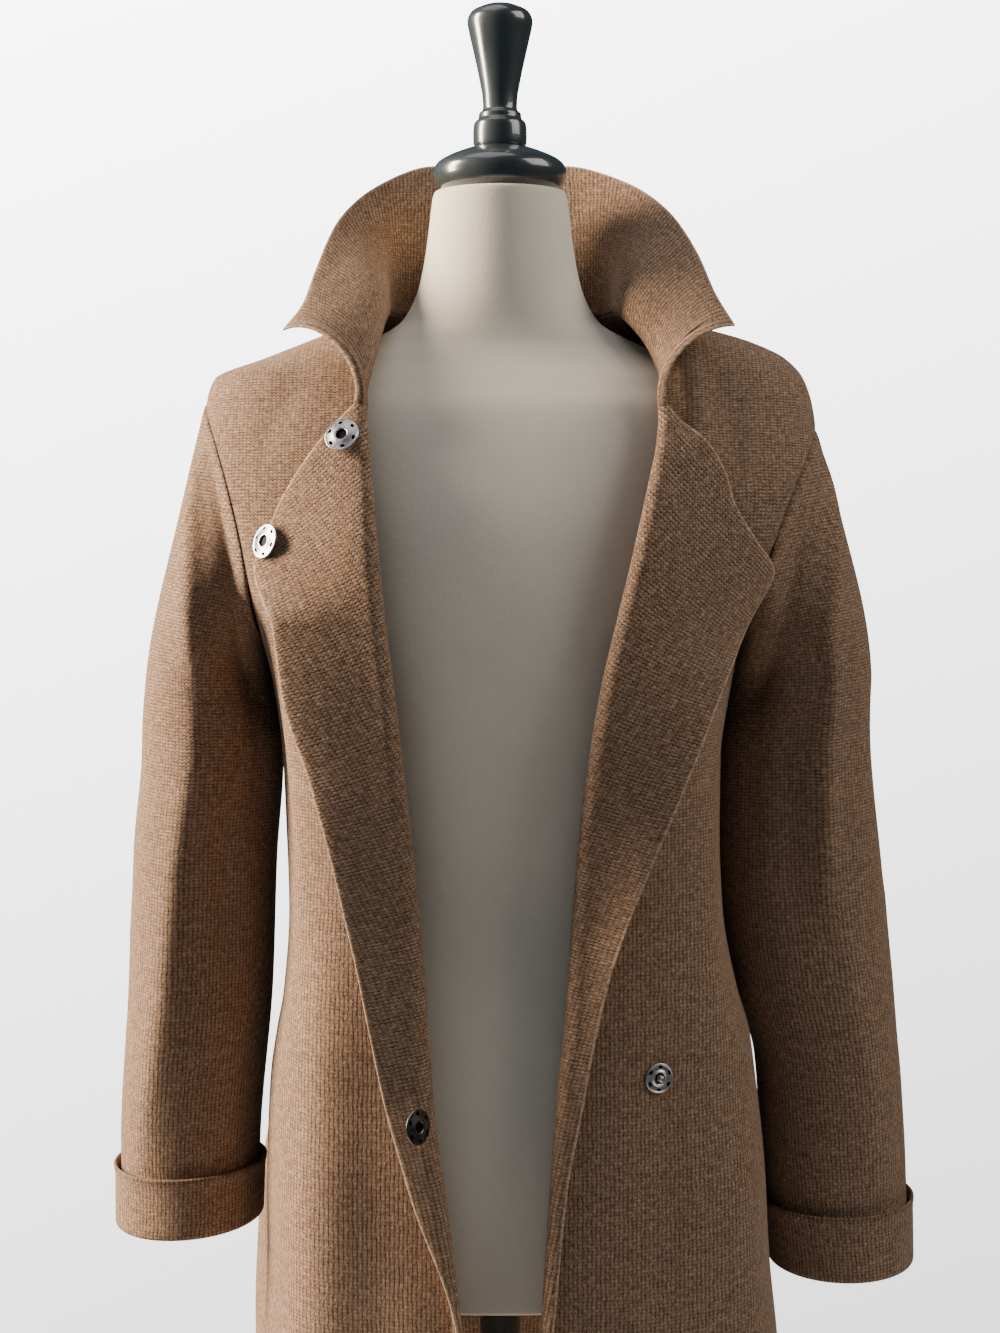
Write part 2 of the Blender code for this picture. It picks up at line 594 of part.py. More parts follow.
def snap_cutter(name, half):
    """Short rods, a little longer round the disc than across it, that cut a snap's sewing holes."""
    ring = SNAP_HOLE_RING * SNAP_DIAMETER[half] / 2
    rods = bmesh.new()
    for index in range(SNAP_HOLES):
        turn = Matrix.Rotation((index + 0.5) * 2 * math.pi / SNAP_HOLES, 4, "Z")
        place = turn @ Matrix.Translation((ring, 0, 0)) @ Matrix.Diagonal((0.8, 1.4, 1, 1))
        size = dict(segments=8, radius1=SNAP_HOLE_RADIUS, radius2=SNAP_HOLE_RADIUS, depth=0.01)
        bmesh.ops.create_cone(rods, cap_ends=True, matrix=place, **size)
    mesh = bpy.data.meshes.new(name)
    rods.to_mesh(mesh)
    rods.free()
    cutter = bpy.data.objects.new(name, mesh)
    bpy.context.collection.objects.link(cutter)
    cutter.hide_render = True
    cutter.display_type = "WIRE"
    return cutter


def make_snap(name, place, metal):
    thing = stack(name, [circle(r, z, 20) for r, z in snap_profile(place["half"])], metal)
    seat, out, up = snap_seat(place)
    outward = Vector(out)
    upward = (Vector(up) - outward * outward.dot(Vector(up))).normalized()
    facing = Matrix((upward.cross(outward), upward, outward)).transposed().to_4x4()
    lean = Matrix.Rotation(math.radians(place["lean"]), 4, "Y")
    cutter = snap_cutter(name + "_holes", place["half"])
    for piece in (thing, cutter):
        piece.matrix_world = Matrix.Translation(Vector(seat)) @ facing @ lean
    cut = thing.modifiers.new("Sewing holes", "BOOLEAN")
    cut.object = cutter
    cut.operation = "DIFFERENCE"
    return thing


def make_coat(wool):
    below = (0.48, 0.56, 0.64, 0.72, 0.785, 0.845, 0.90, 0.95, 1.0, 1.05, 1.10, 1.15, 1.195)
    angles = np.radians(np.arange(-90, 91, 15))
    for side, word in ((RIGHT, "right"), (LEFT, "left")):
        wall("front_" + word, front_rows(side, below, angles, 9, 3, 4), wool)
    wall("back", back_rows(below, angles, 5, 4), wool)
    around = np.radians(np.arange(0, 360, 15))
    for side, word in ((RIGHT, "right"), (LEFT, "left")):
        fold = SLEEVES[side].place[0]
        levels = np.linspace(SLEEVES[side].place[-1], fold, 9)
        wall("sleeve_" + word, sleeve_rows(side, around, 5, levels, 3, 2), wool, closed=True)
    wall("collar", collar_rows(14, 6), wool)


clear_scene()
WOOL = paint("brown wool knit", (0.19, 0.115, 0.062), 0.9)
COVER = paint("ecru cotton jersey", (0.78, 0.72, 0.62), 0.85)
LACQUER = paint("black lacquered wood", (0.012, 0.012, 0.014), 0.22)
METAL = paint("gunmetal plate", (0.32, 0.31, 0.30), 0.3, 1.0)
make_coat(WOOL)
make_form(COVER, LACQUER)
for snap_name, snap_place in SNAPS.items():
    make_snap(snap_name, snap_place, METAL)
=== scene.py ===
"""Looks of a brown wool knit cardigan coat on its dress form: cloth shells, snaps, lacquered fittings, light.

Metres, +Z up. The coat faces -Y, and left and right are the wearer's: the right front and sleeve are at -X.
Each cloth piece is a thin shell on the same middle surface as its solid, with its creases, rounded edges and
cloth coordinates in metres, u across the wales and v along them, that carry the knit.
"""

import math

import bmesh
import bpy
import numpy as np
from mathutils import Matrix, Vector
from mathutils.kdtree import KDTree


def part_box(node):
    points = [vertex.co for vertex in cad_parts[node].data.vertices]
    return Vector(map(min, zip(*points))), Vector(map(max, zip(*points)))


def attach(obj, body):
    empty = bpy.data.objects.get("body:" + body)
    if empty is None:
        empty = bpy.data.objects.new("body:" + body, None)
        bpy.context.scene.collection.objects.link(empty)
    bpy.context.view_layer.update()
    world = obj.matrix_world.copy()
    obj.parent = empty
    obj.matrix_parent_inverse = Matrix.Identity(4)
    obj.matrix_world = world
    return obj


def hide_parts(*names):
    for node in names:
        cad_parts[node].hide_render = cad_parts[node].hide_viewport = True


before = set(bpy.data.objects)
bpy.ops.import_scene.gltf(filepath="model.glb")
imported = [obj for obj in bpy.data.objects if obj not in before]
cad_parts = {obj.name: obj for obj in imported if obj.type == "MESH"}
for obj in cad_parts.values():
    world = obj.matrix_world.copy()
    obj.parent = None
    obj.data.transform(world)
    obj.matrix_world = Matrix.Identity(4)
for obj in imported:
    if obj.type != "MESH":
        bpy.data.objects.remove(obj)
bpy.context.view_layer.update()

RIGHT, LEFT = -1, 1  # the wearer's sides, as the sign of x
WORD = {RIGHT: "right", LEFT: "left"}

# Heights above the floor that the cut pieces share.
HEM = round(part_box("front_right")[0].z, 3)
UNDERARM = 1.235
SQUARE_YOKE = 1.34  # above it the wales run straight up to the shoulder seam
NOTCH = 1.389  # between collar and lapel
SHOULDER_TIP = {RIGHT: 1.396, LEFT: 1.378}
NECK_POINT = 1.462  # where the shoulder seam meets the neck

NOTCH_ANGLE = 45  # degrees round the armhole to the start of the row that ends at the notch
ARMHOLE_HOLLOW = 0.009  # how far the armhole curves in towards the chest
NECK_BOW = {RIGHT: 0.0, LEFT: 0.010}  # how far the front's neck edge bows outwards
LAPEL_SETTLE = 0.024  # cloth past the roll in which a lapel comes to rest on the front

CLOTH = 0.0022  # thickness of the knit away from its edges
COLLAR_LIFT = 0.0012  # of the collar's lower edge above the middle of the neck edge
CAP_GAP = 0.0010  # between a sleeve's cap and the armhole at the shoulder
SEAM_DIP, SEAM_REACH = 0.0009, 0.0040  # how deep and how wide the cloth sinks along a seam
EDGE_THIN, EDGE_REACH = 0.0004, 0.0020  # how much thinner finished edges are, and how far in

MESH_STEP = 0.0040  # between points of the cloth
EDGE_STRIP = 0.0040  # cloth along a finished edge whose points lie closer
WALE = 0.0031  # width of one column of stitches
COURSE = 0.0024  # height of one row of stitches
OPEN_COURSES = 0.98, 1.22  # from where to where, up the cloth, the courses open and the wales close
LAPEL_START = 0.70  # cloth coordinate at a lapel's lower end; a lapel is slacker, so it opens lower down
ARM_RADIUS = 0.0555  # cloth coordinate round a sleeve for each radian


def curved(start, leave, end, arrive, t):
    """Place at t, from 0 to 1, on the curve that leaves start and arrives at end in the given directions."""
    leaving = start * (1 + 2 * t) * (1 - t) ** 2 + leave * t * (1 - t) ** 2
    return leaving + end * t * t * (3 - 2 * t) + arrive * t * t * (t - 1)


class Table:
    """Rows of sizes with named columns, read between rows on a smooth curve that never overshoots."""

    def __init__(self, columns, *rows):
        data = np.array(rows, float)
        self.place = data[:, 0]
        self.columns = dict(zip(columns.split()[1:], data.T[1:]))

    def at(self, column, place):
        x, y = self.place, self.columns[column]
        step = np.diff(x)
        rise = np.diff(y) / step
        slope = np.empty_like(y)
        slope[0], slope[-1] = rise[0], rise[-1]
        before, after = rise[:-1], rise[1:]
        near, far = 2 * step[1:] + step[:-1], step[1:] + 2 * step[:-1]
        level = before * after <= 0
        below = np.where(level, 1, near / np.where(level, 1, before) + far / np.where(level, 1, after))
        slope[1:-1] = np.where(level, 0, (near + far) / below)
        place = np.clip(np.asarray(place, float), x[0], x[-1])
        row = np.clip(np.searchsorted(x, place, side="right") - 1, 0, len(step) - 1)
        h = step[row]
        return curved(y[row], slope[row] * h, y[row + 1], slope[row + 1] * h, (place - x[row]) / h)


# The coat's body from hem to neck: half widths to the right and left side seams, depths at the middle front
# and back, how square a section is (2 is an ellipse) and how far the right back swings out past its seam.
BODY = Table(
    "height right left front back square swing",
    (HEM, 0.190, 0.216, 0.150, 0.154, 2.5, 0.025),
    (0.600, 0.181, 0.210, 0.140, 0.150, 2.6, 0.035),
    (0.720, 0.172, 0.202, 0.129, 0.145, 2.8, 0.045),
    (0.790, 0.1685, 0.1945, 0.123, 0.141, 2.9, 0.045),
    (0.850, 0.168, 0.191, 0.118, 0.136, 2.9, 0.035),  # hips
    (0.917, 0.165, 0.184, 0.112, 0.125, 2.7, 0.015),
    (0.950, 0.160, 0.179, 0.109, 0.118, 2.9, 0.005),
    (0.980, 0.1545, 0.170, 0.106, 0.110, 3.0, 0.0),
    (1.040, 0.150, 0.1585, 0.102, 0.098, 3.1, 0.0),  # waist
    (1.100, 0.152, 0.1555, 0.107, 0.096, 3.1, 0.0),
    (1.150, 0.1545, 0.156, 0.115, 0.099, 3.0, 0.0),
    (1.195, 0.160, 0.1625, 0.123, 0.103, 2.8, 0.0),
    (UNDERARM, 0.169, 0.172, 0.126, 0.106, 2.6, 0.0),
    (1.290, 0.201, 0.211, 0.122, 0.107, 2.4, 0.0),
    (1.340, 0.219, 0.232, 0.110, 0.101, 2.3, 0.0),
    (1.378, 0.214, 0.2235, 0.097, 0.092, 2.3, 0.0),
    (1.396, 0.208, 0.2205, 0.088, 0.085, 2.3, 0.0),
    (1.414, 0.2015, 0.2145, 0.079, 0.077, 2.3, 0.0),
    (1.428, 0.167, 0.202, 0.070, 0.071, 2.3, 0.0),
    (1.438, 0.141, 0.182, 0.064, 0.067, 2.3, 0.0),
    (1.446, 0.1205, 0.156, 0.060, 0.064, 2.3, 0.0),
    (1.455, 0.097, 0.113, 0.056, 0.062, 2.3, 0.0),
    (NECK_POINT, 0.078, 0.080, 0.053, 0.060, 2.3, 0.0),
)

# The fold of each front: how far it stands from the middle, its roll's radius, the cloth past the roll's
# start, how far off the front the lapel rests, and how much further its outer edge stands off.
FRONTS = {
    RIGHT: Table(
        "height fold roll turn_back rest edge",
        (HEM, 0.008, 0.0040, 0.003, 0.008, 0.0),
        (0.620, 0.016, 0.0050, 0.006, 0.010, 0.0),
        (0.720, 0.0215, 0.0060, 0.012, 0.012, 0.0),
        (0.780, 0.0268, 0.0075, 0.0187, 0.014, 0.001),
        (0.865, 0.0368, 0.0100, 0.0422, 0.018, 0.002),
        (0.921, 0.0436, 0.0115, 0.0520, 0.020, 0.004),
        (1.025, 0.0512, 0.0105, 0.0606, 0.018, 0.007),
        (1.136, 0.0616, 0.0085, 0.0681, 0.013, 0.009),
        (1.199, 0.0682, 0.0070, 0.0740, 0.010, 0.008),
        (1.250, 0.0743, 0.0070, 0.0765, 0.0075, 0.005),
        (1.288, 0.0785, 0.0070, 0.0990, 0.0055, 0.0025),  # corner of the lapel
        (1.318, 0.0816, 0.0065, 0.0840, 0.0055, 0.0015),
        (1.345, 0.0845, 0.0055, 0.0625, 0.0055, 0.001),
        (1.372, 0.0875, 0.0048, 0.0360, 0.0055, 0.0005),
        (NOTCH, 0.0895, 0.0040, 0.0145, 0.0055, 0.0),
    ),
    LEFT: Table(
        "height fold roll turn_back rest edge",
        (HEM, 0.014, 0.0040, 0.003, 0.007, 0.0),
        (0.620, 0.020, 0.0050, 0.008, 0.009, 0.0),
        (0.773, 0.0281, 0.0060, 0.0199, 0.011, 0.001),
        (0.865, 0.0340, 0.0070, 0.0248, 0.012, 0.003),
        (0.921, 0.0378, 0.0075, 0.0318, 0.014, 0.005),
        (0.985, 0.0446, 0.0080, 0.0376, 0.015, 0.007),
        (1.040, 0.0481, 0.0080, 0.0465, 0.015, 0.009),
        (1.117, 0.0539, 0.0075, 0.0655, 0.012, 0.010),
        (1.199, 0.0644, 0.0070, 0.0882, 0.009, 0.008),
        (1.250, 0.0757, 0.0070, 0.1109, 0.0065, 0.005),
        (1.278, 0.0828, 0.0070, 0.1270, 0.0055, 0.0025),  # corner of the lapel
        (1.303, 0.0890, 0.0065, 0.0970, 0.0055, 0.0015),
        (1.326, 0.0947, 0.0060, 0.0730, 0.0055, 0.001),
        (1.345, 0.0992, 0.0055, 0.0615, 0.0055, 0.0008),
        (1.363, 0.1035, 0.0048, 0.0440, 0.0055, 0.0005),
        (NOTCH, 0.107, 0.0040, 0.0115, 0.0055, 0.0),
    ),
}

# Sleeve rings below the cap; tilt lifts the outer side of a ring for each metre of its width.
SLEEVES = {
    RIGHT: Table(
        "height x y half_x half_y tilt",
        (0.804, 0.2300, 0.008, 0.0490, 0.049, -0.05),  # fold of the turned-up end
        (0.865, 0.2282, 0.008, 0.0500, 0.047, -0.02),
        (0.980, 0.2192, 0.009, 0.0513, 0.047, 0.01),
        (1.072, 0.2157, 0.010, 0.0515, 0.048, 0.03),
        (1.152, 0.2093, 0.010, 0.0501, 0.052, 0.05),
        (1.197, 0.2100, 0.008, 0.0448, 0.055, 0.07),
    ),
    LEFT: Table(
        "height x y half_x half_y tilt",
        (0.768, 0.2550, 0.020, 0.0486, 0.050, 0.02),  # fold of the turned-up end
        (0.815, 0.2510, 0.021, 0.0512, 0.050, 0.03),
        (0.865, 0.2474, 0.022, 0.0521, 0.050, 0.04),
        (0.920, 0.2428, 0.023, 0.0521, 0.050, 0.04),
        (0.980, 0.2315, 0.024, 0.0577, 0.050, 0.04),
        (1.060, 0.2213, 0.025, 0.0602, 0.052, 0.04),
        (1.150, 0.2166, 0.024, 0.0555, 0.055, 0.05),
        (1.197, 0.2184, 0.018, 0.0508, 0.057, 0.07),
    ),
}
CUFF_HEIGHTS = {RIGHT: 0.041, LEFT: 0.045}  # of the turned-up ends
CUFF_ROLL = 0.0022  # radius of the fold at the sleeve's end
SLEEVE_SPREAD = {RIGHT: 0.14, LEFT: 0.24}  # how far out, against down, the cap leaves the shoulder
CREASE_START = 0.0055  # distance from the armhole seam over which the creases grow

# The collar's outer edge from its right point round the back to its left point. share is the way along the
# neck seam; rise and fall are the angles above level at which the cloth leaves the seam and ends.
COLLAR = Table(
    "share x y z rise fall",
    (-1.00, -0.146, -0.070, 1.444, 106, -20),  # right point
    (-0.85, -0.134, -0.054, 1.463, 100, 12),
    (-0.70, -0.127, -0.028, 1.490, 98, 34),
    (-0.55, -0.115, 0.010, 1.527, 94, 52),
    (-0.40, -0.090, 0.048, 1.557, 92, 62),
    (-0.22, -0.050, 0.075, 1.576, 90, 68),
    (0.00, 0.000, 0.084, 1.578, 88, 74),  # middle of the back
    (0.22, 0.050, 0.075, 1.576, 90, 68),
    (0.40, 0.094, 0.048, 1.559, 92, 62),
    (0.55, 0.120, 0.012, 1.534, 94, 50),
    (0.70, 0.137, -0.022, 1.501, 96, 36),
    (0.85, 0.147, -0.050, 1.470, 100, 22),
    (1.00, 0.158, -0.070, 1.447, 106, 2),  # left point
)

# Creases of the body, as straight soft ridges, or troughs where the depth is below nothing. across is the
# cloth between the middle front, or the middle back, and the crease; width is half the crease's width.
BODY_CREASES = {
    ("front", RIGHT): (
        # height across, height across, width, depth
        (1.225, 0.205, 1.060, 0.150, 0.016, -0.0030),
        (1.205, 0.168, 1.020, 0.140, 0.013, 0.0022),
        (1.080, 0.122, 0.500, 0.130, 0.030, 0.0095),
        (1.000, 0.088, 0.600, 0.082, 0.026, -0.0016),
        (0.900, 0.180, 0.560, 0.185, 0.022, -0.0030),
        (0.800, 0.060, 0.490, 0.055, 0.022, 0.0025),
        (1.425, 0.130, 1.350, 0.175, 0.012, -0.0016),
    ),
    ("front", LEFT): (
        (1.440, 0.112, 1.365, 0.124, 0.0080, -0.0042),
        (1.430, 0.130, 1.345, 0.139, 0.0090, 0.0022),
        (1.425, 0.150, 1.340, 0.165, 0.012, -0.0020),
        (1.300, 0.205, 1.180, 0.170, 0.016, -0.0030),
        (1.150, 0.160, 0.960, 0.150, 0.018, 0.0030),
        (1.000, 0.120, 0.760, 0.110, 0.020, -0.0030),
        (0.900, 0.175, 0.560, 0.185, 0.024, 0.0040),
        (0.800, 0.085, 0.490, 0.080, 0.022, 0.0030),
        (0.740, 0.140, 0.480, 0.150, 0.022, -0.0035),
    ),
    ("back", RIGHT): (
        (1.330, 0.150, 1.180, 0.185, 0.018, -0.0030),
        (1.120, 0.060, 0.940, 0.090, 0.020, -0.0035),
        (1.100, 0.120, 0.880, 0.140, 0.018, 0.0030),
        (0.940, 0.050, 0.500, 0.065, 0.024, 0.0045),
        (0.860, 0.120, 0.480, 0.140, 0.026, -0.0050),
        (0.820, 0.190, 0.480, 0.205, 0.022, 0.0035),
    ),
    ("back", LEFT): (
        (1.320, 0.160, 1.190, 0.190, 0.018, -0.0025),
        (1.130, 0.045, 0.960, 0.075, 0.020, -0.0030),
        (1.080, 0.115, 0.900, 0.130, 0.018, 0.0030),
        (0.900, 0.030, 0.480, 0.040, 0.024, -0.0045),
        (0.880, 0.100, 0.500, 0.110, 0.024, 0.0045),
        (0.800, 0.170, 0.480, 0.180, 0.026, -0.0040),
    ),
}

# Creases of the sleeves; angle is in degrees round the arm, 0 at its front and 90 at its outer side.
SLEEVE_CREASES = {
    RIGHT: (
        # height angle, height angle, width, depth
        (1.392, 84, 1.195, -6, 0.0150, 0.0120),
        (1.240, -3, 0.830, 34, 0.0225, 0.0088),
        (1.405, 58, 1.165, -76, 0.0190, -0.0125),
        (1.200, -30, 0.960, -20, 0.0220, -0.0040),
        (1.240, -58, 1.080, -46, 0.0140, -0.0040),
        (1.180, 66, 1.020, 74, 0.0180, -0.0020),
        (1.250, 170, 1.050, 160, 0.0160, -0.0040),
        (1.120, 128, 0.920, 120, 0.0140, 0.0040),
        (1.050, 205, 0.900, 190, 0.0130, 0.0035),
    ),
    LEFT: (
        (1.362, 84, 1.222, 8, 0.0095, 0.0085),
        (1.262, 18, 1.030, 10, 0.0105, 0.0080),
        (1.060, 18, 0.820, 28, 0.0180, 0.0040),
        (1.372, 60, 1.165, -70, 0.0190, -0.0110),
        (1.200, -14, 1.000, -10, 0.0200, -0.0050),
        (1.250, -48, 1.060, -38, 0.0140, -0.0040),
        (1.200, 80, 1.040, 84, 0.0150, -0.0020),
        (1.260, 165, 1.060, 155, 0.0160, -0.0040),
        (1.100, 125, 0.880, 118, 0.0140, 0.0040),
        (1.020, 200, 0.860, 190, 0.0130, 0.0035),
    ),
}
ARM_REACH = math.radians(0.055)  # cloth round an arm for each degree, on a radius of 55 mm
CRISP, SOFT = 0.3, 1.0  # how round the top of a crease is, against its width

# How much further than at rest the outer edge of each lapel lifts, and how steeply its courses climb to the
# fold, for each metre of cloth past it.
LAPELS = {
    RIGHT: Table(
        "height lift slant",
        (HEM, 0.0, 0.05),
        (0.760, 0.0020, 0.10),
        (0.880, -0.0005, 0.16),
        (0.985, 0.0022, 0.20),
        (1.070, 0.0032, 0.26),
        (1.150, 0.0058, 0.34),
        (1.210, 0.0146, 0.40),
        (1.252, 0.0170, 0.46),
        (1.286, 0.0040, 0.54),
        (1.312, -0.0045, 0.62),
        (NOTCH, 0.0, 0.80),
    ),
    LEFT: Table(
        "height lift slant",
        (HEM, 0.0, 0.05),
        (0.780, 0.0015, 0.12),
        (0.900, 0.0000, 0.16),
        (1.020, 0.0038, 0.22),
        (1.120, 0.0034, 0.30),
        (1.210, 0.0034, 0.46),
        (1.290, -0.0010, 0.66),
        (NOTCH, 0.0, 1.00),
    ),
}


# --------------------------------------------------------------------------- the coat's middle surfaces


def side_width(height, side):
    return BODY.at("right" if side == RIGHT else "left", height)


def body(height, turn, side):
    """Middle of the body cloth; turn is -90 degrees at the middle front, 0 at the side and 90 at the back."""
    height, turn = np.broadcast_arrays(np.asarray(height, float), np.asarray(turn, float))
    depth = np.where(turn < 0, BODY.at("front", height), BODY.at("back", height))
    power = 2 / BODY.at("square", height)
    x = side_width(height, side) * np.abs(np.cos(turn)) ** power
    if side == RIGHT:
        x = x + np.where(turn > 0, BODY.at("swing", height) * np.sin(2 * turn) ** 2, 0)
    y = np.sign(turn) * depth * np.abs(np.sin(turn)) ** power
    return np.stack((side * x, y, height), -1)


def unit(vectors):
    return vectors / np.linalg.norm(vectors, axis=-1, keepdims=True)


def between(ends, share):
    return ends[0] + (ends[1] - ends[0]) * share


def lengths(points):
    """Length of cloth from the first point to each one."""
    return np.append(0, np.cumsum(np.linalg.norm(np.diff(points, axis=0), axis=1)))


def body_normal(height, turn, side, step=0.0005):
    along = body(height, turn + step, side) - body(height, turn - step, side)
    up = body(height + step, turn, side) - body(height - step, turn, side)
    return side * unit(np.cross(along, up))


def front_turn(height, x, side):
    """Turn at which the front is at a distance x from the middle."""
    share = np.clip(x / side_width(height, side), 0, 1)
    return -np.arccos(share ** (BODY.at("square", height) / 2))


def fold_turn(height, side):
    """Turn at which the front ends and its roll starts."""
    return front_turn(height, FRONTS[side].at("fold", height) + FRONTS[side].at("roll", height), side)


def across(height, turn, side):
    """Cloth between the middle, of the front or of the back, and a turn at one height."""
    turns = np.linspace(math.pi / 2, 0, 160)
    measured = lengths(body(height, turns * (-1 if np.mean(turn) < 0 else 1), side))
    return np.interp(math.pi / 2 - np.abs(turn), math.pi / 2 - turns, measured)


def creases(rows, height, place, roundness, reach=1.0):
    """Height of the creases at each point; place is measured round the cloth, reach metres for each unit."""
    total = np.zeros(np.broadcast(height, place).shape)
    for top, top_place, low, low_place, width, depth in rows:
        along = np.array((low - top, (low_place - top_place) * reach))
        down, aside = height - top, (place - top_place) * reach
        share = np.clip((down * along[0] + aside * along[1]) / (along @ along), 0, 1)
        off = np.hypot(down - share * along[0], aside - share * along[1])
        tip = roundness * width
        fall = np.exp((tip - np.hypot(off, tip)) / width * (1 + roundness))
        total = total + depth * (1 - np.abs(2 * share - 1) ** 3) * fall
    return total


def yoke_turn(height, turn, side):
    """Turn, on the section where the yoke starts, that is straight below a point of the yoke."""
    x = np.abs(body(height, turn, side)[..., 0])
    panel = -1 if np.mean(turn) < 0 else 1
    return np.where(height > SQUARE_YOKE, -panel * front_turn(SQUARE_YOKE, x, side), turn)


def cloth_place(height, turn, side):
    """Cloth coordinates of points along one row of the body: across from the middle, and up."""
    below = yoke_turn(height, turn, side)
    ends = [across(min(level, SQUARE_YOKE), below, side) for level in (height[0], height[-1])]
    u = between(ends, np.linspace(0, 1, len(height)))
    drop = np.abs(body(SQUARE_YOKE, below, side)[:, 1]) - np.abs(body(height, turn, side)[:, 1])
    v = height + np.where(height > SQUARE_YOKE, 0.7 * np.maximum(drop, 0), 0)
    return np.stack((u, v), -1)


def draped(height, turn, side):
    """Points along one row of the body with its creases, and their cloth coordinates."""
    place = cloth_place(height, turn, side)
    panel = "front" if np.mean(turn) < 0 else "back"
    lift = creases(BODY_CREASES[panel, side], height, place[:, 0], SOFT)
    return body(height, turn, side) + body_normal(height, turn, side) * lift[:, None], place


def armhole(angle, side):
    """Height and turn, as on the front, round the armhole: 0 is the front, 90 degrees the top."""
    top = SHOULDER_TIP[side]
    share = (1 + np.sin(angle)) / 2
    height = UNDERARM + (top - UNDERARM) * share
    ends = side_width(UNDERARM, side), side_width(top, side)
    x = between(ends, share) - ARMHOLE_HOLLOW * np.cos(angle) ** 2
    return height, front_turn(height, np.minimum(x, side_width(height, side)), side)


def neckline(share, side):
    """Height and turn of the front's neck edge, from the fold at the notch to the neck point."""
    height = NOTCH + (NECK_POINT - NOTCH) * np.sin(share * math.pi / 2)
    start = FRONTS[side].at("fold", NOTCH) + FRONTS[side].at("roll", NOTCH)
    rise = (height - NOTCH) / (NECK_POINT - NOTCH)
    x = start + (side_width(NECK_POINT, side) - start) * rise + NECK_BOW[side] * np.sin(math.pi * rise)
    return height, front_turn(height, x, side)


def turned_back(height, side, cloth):
    """Points of the front past its fold, at lengths of cloth from where the roll starts."""
    front = FRONTS[side]
    roll = front.at("roll", height)
    start = fold_turn(height, side)
    turns = np.linspace(start, 0, 60)
    measured = lengths(body(height, turns, side))
    past = np.maximum(cloth - math.pi * roll, 0)
    turn = np.interp(past, measured, turns)
    bend = np.minimum(cloth / roll, math.pi)

    # Past the roll the lapel settles on the front, and towards its outer edge it stands off again.
    rest = np.minimum(front.at("rest", height), 2 * roll)
    settled = rest + (2 * roll - rest) * (1 + past / LAPEL_SETTLE) * np.exp(-past / LAPEL_SETTLE)
    flat = max(front.at("turn_back", height) - math.pi * roll, 0.02)
    lift = settled + (front.at("edge", height) + LAPELS[side].at("lift", height)) * (past / flat) ** 1.5
    out = np.where(bend < math.pi, roll * (1 - np.cos(bend)), lift)

    inward = unit(body(height, start - 0.001, side) - body(height, start + 0.001, side))
    normal = body_normal(height, turn, side)
    out = out + creases(BODY_CREASES["front", side], height, across(height, turn, side), SOFT)
    return body(height, turn, side) + normal * out[:, None] + inward * (roll * np.sin(bend))[:, None]


def row_ends(angle, side):
    """Where a row from an angle of the armhole starts and ends, and how far it is past the notch."""
    height, turn = armhole(angle, side)
    notch_level = armhole(math.radians(NOTCH_ANGLE), side)[0]
    past = max(0, math.degrees(angle) - NOTCH_ANGLE) / (90 - NOTCH_ANGLE)
    inner = UNDERARM + (NOTCH - UNDERARM) * (height - UNDERARM) / (notch_level - UNDERARM)
    return height, turn, min(inner, NOTCH), past


def even_share(height, turn, side, columns):
    """Shares from one end of a row to the other at which the cloth between points is even."""
    share = np.linspace(0, 1, 4 * columns)
    measured = lengths(body(between(height, share), between(turn, share), side))
    return np.interp(np.linspace(0, measured[-1], columns), measured, share)


def body_rows(side):
    """The ends of a panel's rows, as row_ends gives them, from the hem to the shoulder seam."""
    below = np.linspace(HEM, UNDERARM, round((UNDERARM - HEM) / MESH_STEP))[:-1]
    notch = math.radians(NOTCH_ANGLE)
    to_notch = np.linspace(-math.pi / 2, notch, round(0.2 / MESH_STEP))
    to_top = np.linspace(notch, math.pi / 2, round(0.1 / MESH_STEP))[1:]
    rows = [(height, 0.0, height, 0) for height in below]
    return rows + [row_ends(angle, side) for angle in np.append(to_notch, to_top)]


# ------------------------------------------------------------------------------------- making the cloth


def grid(rows, columns, first=0):
    """Vertex numbers of a grid, row by row."""
    return first + np.arange(rows * columns).reshape(rows, columns)


def patch(number, cloth):
    """Quads over a grid of vertex numbers, and the cloth coordinates of their corners."""
    low, high = slice(0, -1), slice(1, None)
    corners = (low, low), (low, high), (high, high), (high, low)
    faces = np.stack([number[place].ravel() for place in corners], -1)
    return faces, np.stack([cloth[place].reshape(-1, 2) for place in corners], 1)


def distances(points, starts, ends):
    """Distance from each point to the nearest of many short lines."""
    if not len(starts):
        return np.ones(len(points))
    steps = np.linspace(0, 1, 9)[:, None, None]
    line = (starts + (ends - starts) * steps).reshape(-1, 3)
    tree = KDTree(len(line))
    for index, place in enumerate(line):
        tree.insert(place, index)
    tree.balance()
    return np.array([tree.find(place)[2] for place in points])


